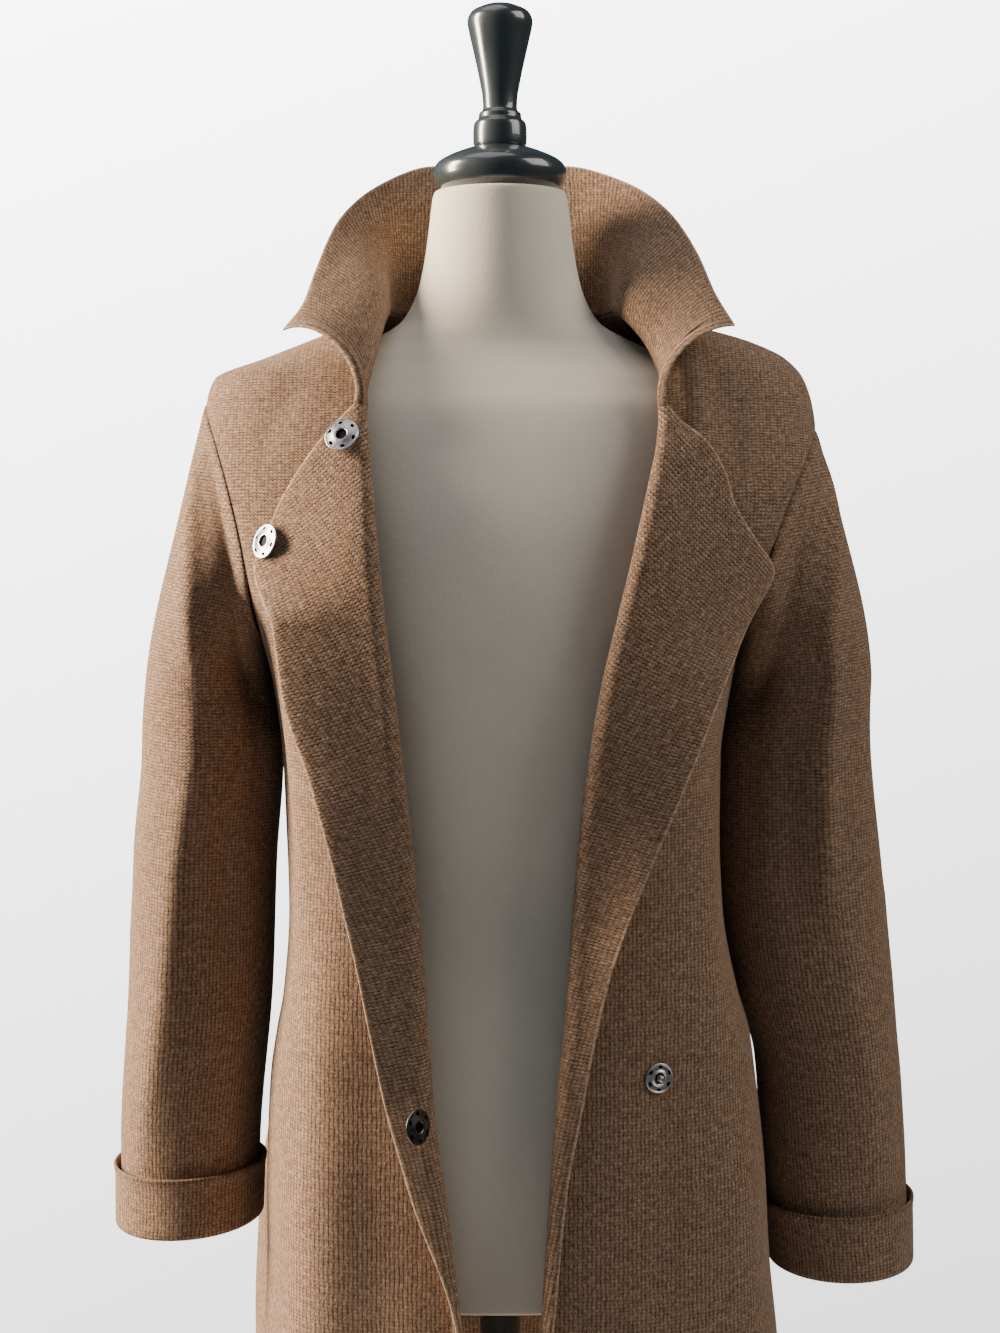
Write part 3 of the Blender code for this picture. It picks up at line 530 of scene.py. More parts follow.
def shell(name, points, patches, finished, material, flip=False):
    """A closed shell of cloth round a sheet of quads, with round rims. It is pressed thinner at its finished
    edges, where finished is true, and dips where it is sewn. flip turns a sheet whose faces look inwards."""
    faces = np.vstack([part[0] for part in patches])
    cloth = np.concatenate([part[1] for part in patches])
    if flip:
        faces, cloth = faces[:, ::-1], cloth[:, ::-1]

    # The way each point faces, from the diagonals of the quads round it.
    square = points[faces]
    turned = np.cross(square[:, 2] - square[:, 0], square[:, 3] - square[:, 1])
    normal = np.zeros_like(points)
    for corner in range(4):
        np.add.at(normal, faces[:, corner], turned)
    normal = unit(normal)

    # The rim is every side that belongs to one quad only.
    sides = np.stack((faces, np.roll(faces, -1, axis=1)), -1).reshape(-1, 2)
    keys = sides.min(1) * len(points) + sides.max(1)
    where, count = np.unique(keys, return_index=True, return_counts=True)[1:]
    rim = where[count == 1]
    start, end = sides[rim, 0], sides[rim, 1]
    free = finished[start] & finished[end]

    # The middle surface sinks at the seams, and half the thickness is less at the finished edges.
    from_edge = distances(points, points[start[free]], points[end[free]])
    from_seam = distances(points, points[start[~free]], points[end[~free]])
    points = points - normal * (SEAM_DIP * np.exp(-((from_seam / SEAM_REACH) ** 2)))[:, None]
    half = (CLOTH / 2 - EDGE_THIN * np.exp(-((from_edge / EDGE_REACH) ** 2)))[:, None]

    # Both faces of the shell, and rings of points between them round the rim.
    outward = np.zeros_like(points)
    push = unit(np.cross(points[end] - points[start], normal[start]))
    np.add.at(outward, start, push)
    np.add.at(outward, end, push)
    on_rim = np.unique(np.append(start, end))
    outward[on_rim] = unit(outward[on_rim])
    number = np.full(len(points), -1)
    number[on_rim] = np.arange(len(on_rim))
    vertices = [points + normal * half, points - normal * half]
    loops = [np.stack((start, end), -1)]
    for step, angle in enumerate(np.radians((55, 18, -18, -55))):
        ring = normal[on_rim] * math.sin(angle) + outward[on_rim] * math.cos(angle)
        vertices.append(points[on_rim] + ring * half[on_rim])
        loops.append(2 * len(points) + step * len(on_rim) + number[loops[0]])
    loops.append(loops[0] + len(points))

    # Quads, each with the cloth coordinates and the distances of its corners.
    all_faces = [faces, faces[:, ::-1] + len(points)]
    edges = np.stack((from_edge, from_seam), -1)
    all_cloth, all_edges = [cloth, cloth[:, ::-1]], [edges[faces], edges[faces[:, ::-1]]]
    ends = np.stack((cloth[rim // 4, rim % 4], cloth[rim // 4, (rim + 1) % 4]), 1)
    for here, there in zip(loops[:-1], loops[1:]):
        all_faces.append(np.stack((here[:, 1], here[:, 0], there[:, 0], there[:, 1]), -1))
        all_cloth.append(ends[:, [1, 0, 0, 1]])
        all_edges.append(edges[np.stack((end, start, start, end), -1)])
    mesh = bpy.data.meshes.new(name)
    mesh.from_pydata(np.vstack(vertices).tolist(), [], np.vstack(all_faces).tolist())
    mesh.uv_layers.new(name="Cloth").data.foreach_set("uv", np.concatenate(all_cloth).ravel())
    mesh.uv_layers.new(name="Edge").data.foreach_set("uv", np.concatenate(all_edges).ravel())
    mesh.materials.append(material)
    mesh.shade_smooth()
    area = float(np.linalg.norm(turned, axis=1).sum() / 2)
    width, length = np.ptp(cloth.reshape(-1, 2), axis=0)
    print(f"{name}: {area:.4f} m2 of cloth, {width:.3f} by {length:.3f} m, {len(mesh.polygons)} faces")
    return place_in_scene(name, mesh)


def place_in_scene(name, mesh):
    thing = bpy.data.objects.new(name, mesh)
    bpy.context.scene.collection.objects.link(thing)
    return thing


def front(side, material):
    """A front: rows of the panel and, past the fold, of the lapel up to the notch."""
    columns, flat_columns = round(0.26 / MESH_STEP), round(0.11 / MESH_STEP)  # of the panel and the lapel
    roll_columns, edge_columns = 10, 4
    heights = np.linspace(HEM, NOTCH, 200)
    slant = LAPELS[side].at("slant", heights)
    narrowing = 1 / np.hypot(1, slant)
    # Where the fold runs in the lapel's cloth coordinates, for each height.
    walk = np.cumsum(np.vstack((slant * narrowing, narrowing)), axis=1) * (heights[1] - heights[0])
    panel, panel_cloth, lapel, lapel_cloth = [], [], [], []
    for height, turn, inner_height, past in body_rows(side):
        inner_turn = fold_turn(inner_height, side)
        if past > 0:
            inner_height, inner_turn = neckline(past, side)
        row = (height, inner_height), (turn, inner_turn)
        share = even_share(*row, side, columns)
        points, cloth = draped(between(row[0], share), between(row[1], share), side)
        panel.append(points)
        panel_cloth.append(cloth)
        if past > 0:
            continue
        whole = FRONTS[side].at("turn_back", inner_height)
        round_part = min(math.pi * FRONTS[side].at("roll", inner_height), 0.6 * whole)
        near_edge = whole - min(EDGE_STRIP, 0.3 * (whole - round_part))
        stretches = (
            (0, round_part, roll_columns),
            (round_part, near_edge, flat_columns),
            (near_edge, whole, edge_columns),
        )
        turned = np.concatenate([np.linspace(a, b, steps + 1)[1:] for a, b, steps in stretches])
        lapel.append(turned_back(inner_height, side, turned))
        turned = np.append(0, turned)
        lean, narrow = (np.interp(inner_height, heights, values) for values in (slant, narrowing))
        back_walk, up_walk = (np.interp(inner_height, heights, values) for values in walk)
        up = LAPEL_START + up_walk + turned * lean * narrow
        lapel_cloth.append(np.stack((turned * narrow - back_walk, up), -1))
    panel, lapel = np.array(panel), np.array(lapel)
    number = grid(*panel.shape[:2])
    past_fold = np.hstack((number[: len(lapel), -1:], grid(*lapel.shape[:2], number.size)))
    points = np.vstack((panel.reshape(-1, 3), lapel.reshape(-1, 3)))
    finished = np.zeros(len(points), bool)
    finished[number[0]] = finished[past_fold[0]] = finished[past_fold[:, -1]] = True
    patches = patch(number, np.array(panel_cloth)), patch(past_fold, np.array(lapel_cloth))
    return shell("coat_front_" + WORD[side], points, patches, finished, material, side == LEFT)


def back(material):
    """The back from its right side seam to its left, up to the shoulders and the neck."""
    columns, neck = round(0.17 / MESH_STEP), round(0.07 / MESH_STEP)
    halves = []
    for side in (RIGHT, LEFT):
        rows, places = [], []
        for height, turn, inner_height, past in body_rows(side):
            inner_height += (NECK_POINT - inner_height) * math.sin(past * math.pi / 2)
            neck_turn = (math.pi / 2) * 5 / 9 * (1 - past**2)
            share = np.linspace(0, 1, columns + 1)
            along = np.linspace(neck_turn, math.pi / 2, neck + 1)[1:]
            heights = np.append(between((height, inner_height), share), np.full(neck, inner_height))
            row, place = draped(heights, np.append(between((-turn, neck_turn), share), along), side)
            rows.append(row)
            places.append(place * (side, 1))
        halves.append((np.array(rows), np.array(places)))
    points, cloth = (np.concatenate((right, left[:, -2::-1]), axis=1) for right, left in zip(*halves))
    number = grid(*points.shape[:2])
    finished = np.zeros(number.size, bool)
    finished[number[0]] = True
    return shell("coat_back", points.reshape(-1, 3), [patch(number, cloth)], finished, material, True)


def sleeve_ring(side, height, angles, out=0.0):
    """Points round the arm, a distance out from the sleeve's own section."""
    table = SLEEVES[side]
    half_x = table.at("half_x", height) + out
    half_y = table.at("half_y", height) + out
    wide = half_x * np.sin(angles)
    x = side * (table.at("x", height) + wide)
    y = table.at("y", height) - half_y * np.cos(angles)
    return np.stack((x, y, height + table.at("tilt", height) * wide), -1)


def sleeve(side, material):
    """A sleeve from the armhole over the cap and down the arm, round the fold and up the turned-up end."""
    table = SLEEVES[side]
    top, fold = table.place[-1], table.place[0]
    angles = np.radians(np.linspace(-90, 270, round(0.36 / MESH_STEP) + 1))
    height, turn = armhole(angles, side)
    seam = body(height, np.where(np.cos(angles) > 0, turn, -turn), side)
    seam[:, 0] += side * (CAP_GAP + CLOTH / 4 * (1 - np.sin(angles)))

    # The cap leaves the shoulder outwards and runs into the highest ring of the arm.
    ring = sleeve_ring(side, top, angles)
    ahead = unit(sleeve_ring(side, top - 0.01, angles) - ring)
    spread = side * SLEEVE_SPREAD[side] * (1 + np.sin(angles)) / 2
    leave = unit(np.stack((spread, np.zeros_like(angles), -np.ones_like(angles)), -1))
    reach = np.linalg.norm(ring - seam, axis=1)[:, None]
    rows = []
    for t in np.linspace(0, 1, round(0.16 / MESH_STEP))[:-1]:
        rows.append(curved(seam, leave * reach, ring, ahead * reach, t))
    tube = len(rows)
    arm = np.linspace(top, fold, round((top - fold) / MESH_STEP))
    rows += [sleeve_ring(side, level, angles) for level in arm]

    # Round the fold and up over the sleeve.
    for bend in np.linspace(0, math.pi, 9)[1:]:
        drop = (0, 0, -CUFF_ROLL * math.sin(bend))
        rows.append(sleeve_ring(side, fold, angles, CUFF_ROLL * (1 - math.cos(bend))) + drop)
    climb = np.linspace(0, CUFF_HEIGHTS[side], round(CUFF_HEIGHTS[side] / MESH_STEP))
    climb = np.concatenate((climb[1:-1], climb[-1] - EDGE_STRIP * np.array((0.75, 0.5, 0.25, 0))))
    rows += [sleeve_ring(side, fold + level, angles, 2 * CUFF_ROLL) for level in climb]

    # The creases push the cloth away from the middle of the arm, or in towards it.
    rows = np.array(rows)
    level = rows[..., 2]
    middle = np.stack((side * table.at("x", level), table.at("y", level), level), -1)
    crease = creases(SLEEVE_CREASES[side], level, np.degrees(angles), CRISP, ARM_REACH)
    crease *= 1 - np.exp(-((np.linalg.norm(rows - seam, axis=2) / CREASE_START) ** 2))
    points = rows + unit(rows - middle) * crease[..., None]

    # The knit is measured down the cloth, and past the cap its rows are level round the arm.
    steps = np.linalg.norm(np.diff(rows, axis=0), axis=2)
    down = np.cumsum(np.vstack((np.zeros(len(angles)), steps)), axis=0)
    v = OPEN_COURSES[1] + down[tube] - down
    v[tube:] = v[tube:].mean(1)[:, None]
    cloth = np.stack((np.broadcast_to(angles * ARM_RADIUS, v.shape), v), -1)
    number = grid(len(points), len(angles) - 1)
    number = np.hstack((number, number[:, :1]))
    name = "coat_sleeve_" + WORD[side]
    points = points[:, :-1].reshape(-1, 3)
    finished = np.zeros(len(points), bool)  # one rim is sewn to the armhole, and the other is tacked down
    return shell(name, points, [patch(number, cloth)], finished, material, side == LEFT)


def neck_seam(side, shares):
    """The neck edge at shares of its length from the middle of the back to the notch."""
    nape = body(NECK_POINT, np.linspace(math.pi / 2, 0, 40), side)
    throat = body(*neckline(np.linspace(1, 0, 40)[1:], side), side)
    notch = turned_back(NOTCH, side, np.linspace(0, FRONTS[side].at("turn_back", NOTCH), 20)[1:])
    line = np.vstack((nape, throat, notch))
    measured = lengths(line)
    return np.stack([np.interp(shares * measured[-1], measured, line[:, axis]) for axis in range(3)], -1)


def collar(material):
    """The collar in sections from its right point round the back to its left point."""
    count, rows = round(0.30 / MESH_STEP), round(0.16 / MESH_STEP)
    half = 1 - (1 - np.linspace(0, 1, count)) ** 1.2
    shares = np.append(-half[::-1], half[1:])
    seam = np.vstack((neck_seam(RIGHT, half)[::-1], neck_seam(LEFT, half)[1:]))
    seam[:, 2] += COLLAR_LIFT
    edge = np.stack([COLLAR.at(column, shares) for column in "xyz"], -1)
    heading = unit((edge - seam) * (1, 1, 0))
    chord = np.linalg.norm(edge - seam, axis=1)[:, None] * 1.15
    leave, arrive = (
        heading * np.cos(angle)[:, None] + np.sin(angle)[:, None] * np.array((0, 0, 1))
        for angle in (np.radians(COLLAR.at(column, shares)) for column in ("rise", "fall"))
    )
    sections = []
    for t in np.append(np.linspace(0, 0.96, rows), (0.972, 0.982, 0.991, 1.0)):
        sections.append(curved(seam, leave * chord, edge, arrive * chord, t))
    points = np.array(sections)
    steps = np.linalg.norm(np.diff(points, axis=0), axis=2)
    v = np.cumsum(np.vstack((np.zeros(len(shares)), steps)), axis=0)
    u = np.broadcast_to(lengths(points[len(points) // 2]), v.shape)
    number = grid(*v.shape)
    finished = np.zeros(v.size, bool)
    finished[number[-1]] = finished[number[:, 0]] = finished[number[:, -1]] = True
    patches = [patch(number, np.stack((u, v), -1))]
    return shell("coat_collar", points.reshape(-1, 3), patches, finished, material, True)


# ----------------------------------------------------------------------------- snaps, dress form and stand

GAP = 0.0003  # between neighbouring hard pieces
BASE_DIAMETER = 0.360
BASE_HEIGHT = 0.024
POLE_DIAMETER = 0.030
POLE_TOP = 0.835
POLE_EDGE = 0.0008  # cut off the edges of the pole's ends
FORM_BOTTOM = 0.770
SHOULDER_LEVEL, NECK_LEVEL = 1.430, 1.470  # between them the form's section turns to an ellipse
NECK_TOP = 1.545

FORM = Table(
    "height half_width front back",
    (FORM_BOTTOM, 0.157, 0.103, 0.116),
    (0.850, 0.159, 0.102, 0.118),  # hips
    (0.950, 0.146, 0.093, 0.101),
    (1.040, 0.127, 0.086, 0.083),  # waist
    (1.140, 0.139, 0.098, 0.085),
    (1.235, 0.156, 0.112, 0.092),  # bust
    (1.300, 0.162, 0.106, 0.092),
    (1.355, 0.176, 0.092, 0.084),
    (1.392, 0.184, 0.078, 0.073),
    (1.410, 0.172, 0.067, 0.066),
    (1.426, 0.133, 0.058, 0.058),
    (1.440, 0.096, 0.053, 0.053),
    (1.456, 0.069, 0.051, 0.051),
    (1.485, 0.056, 0.050, 0.050),
    (NECK_TOP, 0.047, 0.047, 0.047),
)

# Turned profiles, radius and height, from the bottom up.
CAP_PROFILE = (
    (0.0400, 1.5453),
    (0.0455, 1.5510),
    (0.0477, 1.5590),
    (0.0450, 1.5655),
    (0.0385, 1.5695),
    (0.0290, 1.5735),
    (0.0200, 1.5765),
)
FINIAL_PROFILE = (
    (0.0176, 1.5768),
    (0.0188, 1.5790),
    (0.0190, 1.5870),
    (0.0184, 1.5940),
    (0.0150, 1.5962),
    (0.0150, 1.6005),
    (0.0118, 1.6022),
    (0.0124, 1.6130),
    (0.0160, 1.6310),
    (0.0204, 1.6500),
    (0.0229, 1.6610),
    (0.0229, 1.6655),
    (0.0200, 1.6705),
    (0.0110, 1.6742),
)
BASE_PROFILE = (
    (BASE_DIAMETER / 2 - 0.004, 0.0),
    (BASE_DIAMETER / 2, 0.004),
    (BASE_DIAMETER / 2, 0.009),
    (BASE_DIAMETER / 2 - 0.008, 0.0125),
    (0.045, 0.018),
    (0.030, BASE_HEIGHT),
)
POLE_PROFILE = (
    (POLE_DIAMETER / 2 - POLE_EDGE, BASE_HEIGHT + GAP),
    (POLE_DIAMETER / 2, BASE_HEIGHT + GAP + POLE_EDGE),
    (POLE_DIAMETER / 2, POLE_TOP - POLE_EDGE),
    (POLE_DIAMETER / 2 - POLE_EDGE, POLE_TOP),
)
TURNED = {
    "neck_cap": CAP_PROFILE,
    "finial": FINIAL_PROFILE,
    "stand_base": BASE_PROFILE,
    "stand_pole": POLE_PROFILE,
}

# Snap halves from the edge of the back over the rim to the middle of the face, radius and height in mm.
SOCKET_PROFILE = (
    (11.2, 0.0), (11.8, 0.2), (12.0, 0.6), (11.8, 1.05), (11.3, 1.2), (10.7, 1.1), (9.4, 1.25), (7.6, 1.6),
    (6.0, 2.0), (4.9, 2.25), (4.2, 2.2), (3.8, 1.9), (3.7, 1.2), (3.7, 0.7),
)
STUD_PROFILE = (
    (9.8, 0.0), (10.3, 0.2), (10.5, 0.6), (10.3, 1.05), (9.8, 1.25), (9.3, 1.1), (9.0, 0.75), (7.4, 0.7),
    (5.9, 0.75), (5.3, 1.3), (4.9, 1.75), (4.5, 1.8), (4.1, 1.5), (3.6, 1.0), (2.4, 1.0), (1.9, 1.5),
    (1.8, 2.7), (2.2, 3.4), (2.1, 4.1), (1.5, 4.5), (0.7, 4.65),
)
SNAP_PROFILE = {"socket": SOCKET_PROFILE, "stud": STUD_PROFILE}
SNAP_DIAMETER = {"socket": 0.024, "stud": 0.021}
SNAP_WELL = {"socket": (0, 0.0037), "stud": (0.0022, 0.0044)}  # inner and outer radius of the well, dark with the socket's spring and painted shade
SNAP_WELL_FLOOR = 0.0003, 0.0013  # heights between which the well's floor and foot lie
SNAP_HOLES = 6
SNAP_HOLE_RING = {half: 0.76 * wide / 2 for half, wide in SNAP_DIAMETER.items()}  # its radius
SNAP_HOLE = 0.0011, 0.0017  # half the size of an oval sewing hole, across the ring and along it
SNAP_HOLE_FLOOR = 0.0003  # height of the sewing holes' floor, painted dark as shade

# Where each half is sewn. On a lapel, turned is the cloth from the roll's start; on the front, x is the
# distance from the middle. It leans about its upright and tips about its level axis, in degrees, and its
# threads hold it off the cloth.
SNAPS = {
    "snap_socket_top": dict(side=RIGHT, height=1.368, turned=0.0255, half="socket", tip=-8, off=0.0018),
    "snap_socket_corner": dict(side=RIGHT, height=1.301, turned=0.090, half="socket", lean=-13, off=0.0020),
    "snap_socket_waist": dict(side=RIGHT, height=0.9135, turned=0.0345, half="socket", lean=48, off=0.0074),
    "snap_stud_waist": dict(side=LEFT, height=0.937, x=0.1085, half="stud", off=0.0009),
}


def ringed(name, rings, materials):
    """A closed piece through rings of points from the bottom up."""
    count, total = len(rings[0]), len(rings) * len(rings[0])
    number = np.arange(total).reshape(-1, count)
    ahead = np.roll(number, -1, axis=1)
    faces = np.stack((number[:-1], ahead[:-1], ahead[1:], number[1:]), -1).reshape(-1, 4).tolist()
    faces += [(ahead[0, i], number[0, i], total) for i in range(count)]
    faces += [(number[-1, i], ahead[-1, i], total + 1) for i in range(count)]
    middles = [np.mean(rings[0], axis=0), np.mean(rings[-1], axis=0)]
    mesh = bpy.data.meshes.new(name)
    mesh.from_pydata(np.vstack(list(rings) + [middles]).tolist(), [], faces)
    for material in materials:
        mesh.materials.append(material)
    mesh.shade_smooth()
    return place_in_scene(name, mesh)


def circle(radius, height, count):
    angles = np.arange(count) * 2 * math.pi / count
    return np.stack((radius * np.cos(angles), radius * np.sin(angles), np.full(count, height)), -1)


def rounded(profile, cut):
    """A turned profile with its corners rounded off, starting a distance cut from each."""
    profile = np.array(profile, float)
    out = [profile[0]]
    for before, corner, after in zip(profile[:-2], profile[1:-1], profile[2:]):
        ways = before - corner, after - corner
        start, end = (corner + way * min(cut / np.linalg.norm(way), 0.45) for way in ways)
        for t in (0, 0.25, 0.5, 0.75, 1):
            out.append(start * (1 - t) ** 2 + corner * 2 * t * (1 - t) + end * t * t)
    return out + [profile[-1]]


def turned_piece(name, profile, material, cut=0.004, count=96):
    return ringed(name, [circle(*point, count) for point in rounded(profile, cut)], [material])


def form_ring(height, count):
    angles = np.arange(count) * 2 * math.pi / count
    depth = np.where(np.sin(angles) < 0, FORM.at("front", height), FORM.at("back", height))
    power = 2 / np.interp(height, (SHOULDER_LEVEL, NECK_LEVEL), (2.3, 2))
    x = FORM.at("half_width", height) * np.sign(np.cos(angles)) * np.abs(np.cos(angles)) ** power
    y = depth * np.sign(np.sin(angles)) * np.abs(np.sin(angles)) ** power
    return np.stack((x, y, np.full(count, height)), -1)


def dress_form(cover):
    """The padded torso, from the pole's bore round its bottom edge and up to the neck."""
    count = 160
    bore = POLE_DIAMETER / 2 + GAP
    rings = [circle(bore, POLE_TOP + GAP, count), circle(bore, FORM_BOTTOM, count)]
    for share in (0.3, 0.6, 0.85, 0.93, 0.96):
        rings.append(form_ring(FORM_BOTTOM, count) * (share, share, 1))
    for bend in np.linspace(0, math.pi / 2, 5):
        shrink = 1 - 0.03 * (1 - math.sin(bend))
        lift = 0.004 * (1 - math.cos(bend))
        rings.append(form_ring(FORM_BOTTOM, count) * (shrink, shrink, 1) + (0, 0, lift))
    for low, high, step in ((0.78, 1.38, 0.01), (1.38, 1.49, 0.003), (1.49, 1.542, 0.005)):
        rings += [form_ring(height, count) for height in np.arange(low, high, step)]
    for radius, height in ((0.047, NECK_TOP - 0.002), (0.0462, NECK_TOP), (0.02, NECK_TOP)):
        rings.append(circle(radius, height, count))
    return ringed("dress_form_torso", rings, [cover])


def snap_seat(place):
    """Middle of a snap's back and the direction it faces, from the cloth it is sewn to."""
    side, height = place["side"], place["height"]
    if "turned" in place:
        near = np.array((place["turned"] - 0.004, place["turned"], place["turned"] + 0.004))
        line, above = (turned_back(level, side, near) for level in (height, height + 0.004))
    else:
        near = front_turn(height, place["x"], side) + np.array((-0.02, 0, 0.02))
        line, above = (draped(np.full(3, level), near, side)[0] for level in (height, height + 0.004))
    along, up = unit(line[2] - line[0]), unit(above[1] - line[1])
    out = unit(np.cross(along, up))
    if out[1] > 0:
        out = -out
    return line[1] + out * (CLOTH / 2 + place["off"]), out, up


def hole_rods(half):
    """Short oval rods that cut a snap's sewing holes down to their floor."""
    depth = 0.02
    oval = Matrix.Diagonal((*SNAP_HOLE, 1, 1))
    place = Matrix.Translation((SNAP_HOLE_RING[half], 0, SNAP_HOLE_FLOOR + depth / 2)) @ oval
    size = dict(segments=24, radius1=1, radius2=1, depth=depth)
    rods = bmesh.new()
    for index in range(SNAP_HOLES):
        turn = Matrix.Rotation((index + 0.5) * 2 * math.pi / SNAP_HOLES, 4, "Z")
        bmesh.ops.create_cone(rods, cap_ends=True, matrix=turn @ place, **size)
    mesh = bpy.data.meshes.new("snap_hole_rods")
    rods.to_mesh(mesh)
    rods.free()
    return place_in_scene("snap_hole_rods", mesh)


def snap(name, place, plate, dark):
    """A snap half sewn to the cloth: a turned shell whose sewing holes are painted dark as shade, and whose
    well is dark with its spring and painted shade.
    """
    half = place["half"]
    profile = np.array(SNAP_PROFILE[half]) / 1000
    thing = ringed("coat_" + name, [circle(*point, 72) for point in rounded(profile, 0.0003)], [plate, dark])
    rods = hole_rods(half)
    cut = thing.modifiers.new("Sewing holes", "BOOLEAN")
    cut.object = rods
    cut.operation = "DIFFERENCE"
    mesh = bpy.data.meshes.new_from_object(thing.evaluated_get(bpy.context.evaluated_depsgraph_get()))
    thing.modifiers.clear()
    thing.data = mesh
    bpy.data.objects.remove(rods)

    # The sewing holes are painted dark as shade; the well is dark with the socket's spring and painted shade.
    inner, outer = SNAP_WELL[half]
    low, high = SNAP_WELL_FLOOR
    for face in mesh.polygons:
        radius, height = face.center.to_2d().length, face.center.z
        upright = abs(face.normal.z) < 0.1
        on_ring = abs(radius - SNAP_HOLE_RING[half]) < SNAP_HOLE[0] + 0.0002
        in_hole = on_ring and (upright or abs(height - SNAP_HOLE_FLOOR) < 0.0001)
        in_well = inner <= radius < outer and low < height < high
        face.material_index = int(in_hole or in_well)
    mesh.set_sharp_from_angle(angle=math.radians(35))

    # Onto its seat, with its back to the cloth.
    seat, out, up = snap_seat(place)
    outward = Vector(out)
    upward = (Vector(up) - outward * outward.dot(Vector(up))).normalized()
    facing = Matrix((upward.cross(outward), upward, outward)).transposed().to_4x4()
    lean = Matrix.Rotation(math.radians(place.get("lean", 0)), 4, "Y")
    tip = Matrix.Rotation(math.radians(place.get("tip", 0)), 4, "X")
    mesh.transform(Matrix.Translation(Vector(seat)) @ facing @ lean @ tip)
    return thing


# ------------------------------------------------------------------------------------------- materials


def colour(text):
    """Linear colour of an sRGB hex value."""
    values = [int(text[place:place + 2], 16) / 255 for place in (1, 3, 5)]
    return (*(v / 12.92 if v <= 0.04045 else ((v + 0.055) / 1.055) ** 2.4 for v in values), 1)


def add(tree, kind, inputs, output=0, **settings):
    """Adds a node with its settings and gives one output; inputs are values or sockets, by name or number."""
    made = tree.nodes.new("ShaderNode" + kind)
    for name, value in settings.items():
        setattr(made, name, value)
    for name, value in inputs.items():
        if isinstance(value, bpy.types.NodeSocket):
            tree.links.new(value, made.inputs[name])
        else:
            made.inputs[name].default_value = value
    return made.outputs[output] if made.outputs else made


def start_material(name, **settings):
    """A new material and its shader, with the values that are the same all over set on the shader."""
    material = bpy.data.materials.new(name)
    material.use_nodes = True
    shader = material.node_tree.nodes["Principled BSDF"]
    for socket, value in settings.items():
        shader.inputs[socket.replace("_", " ")].default_value = value
    return material, material.node_tree, shader


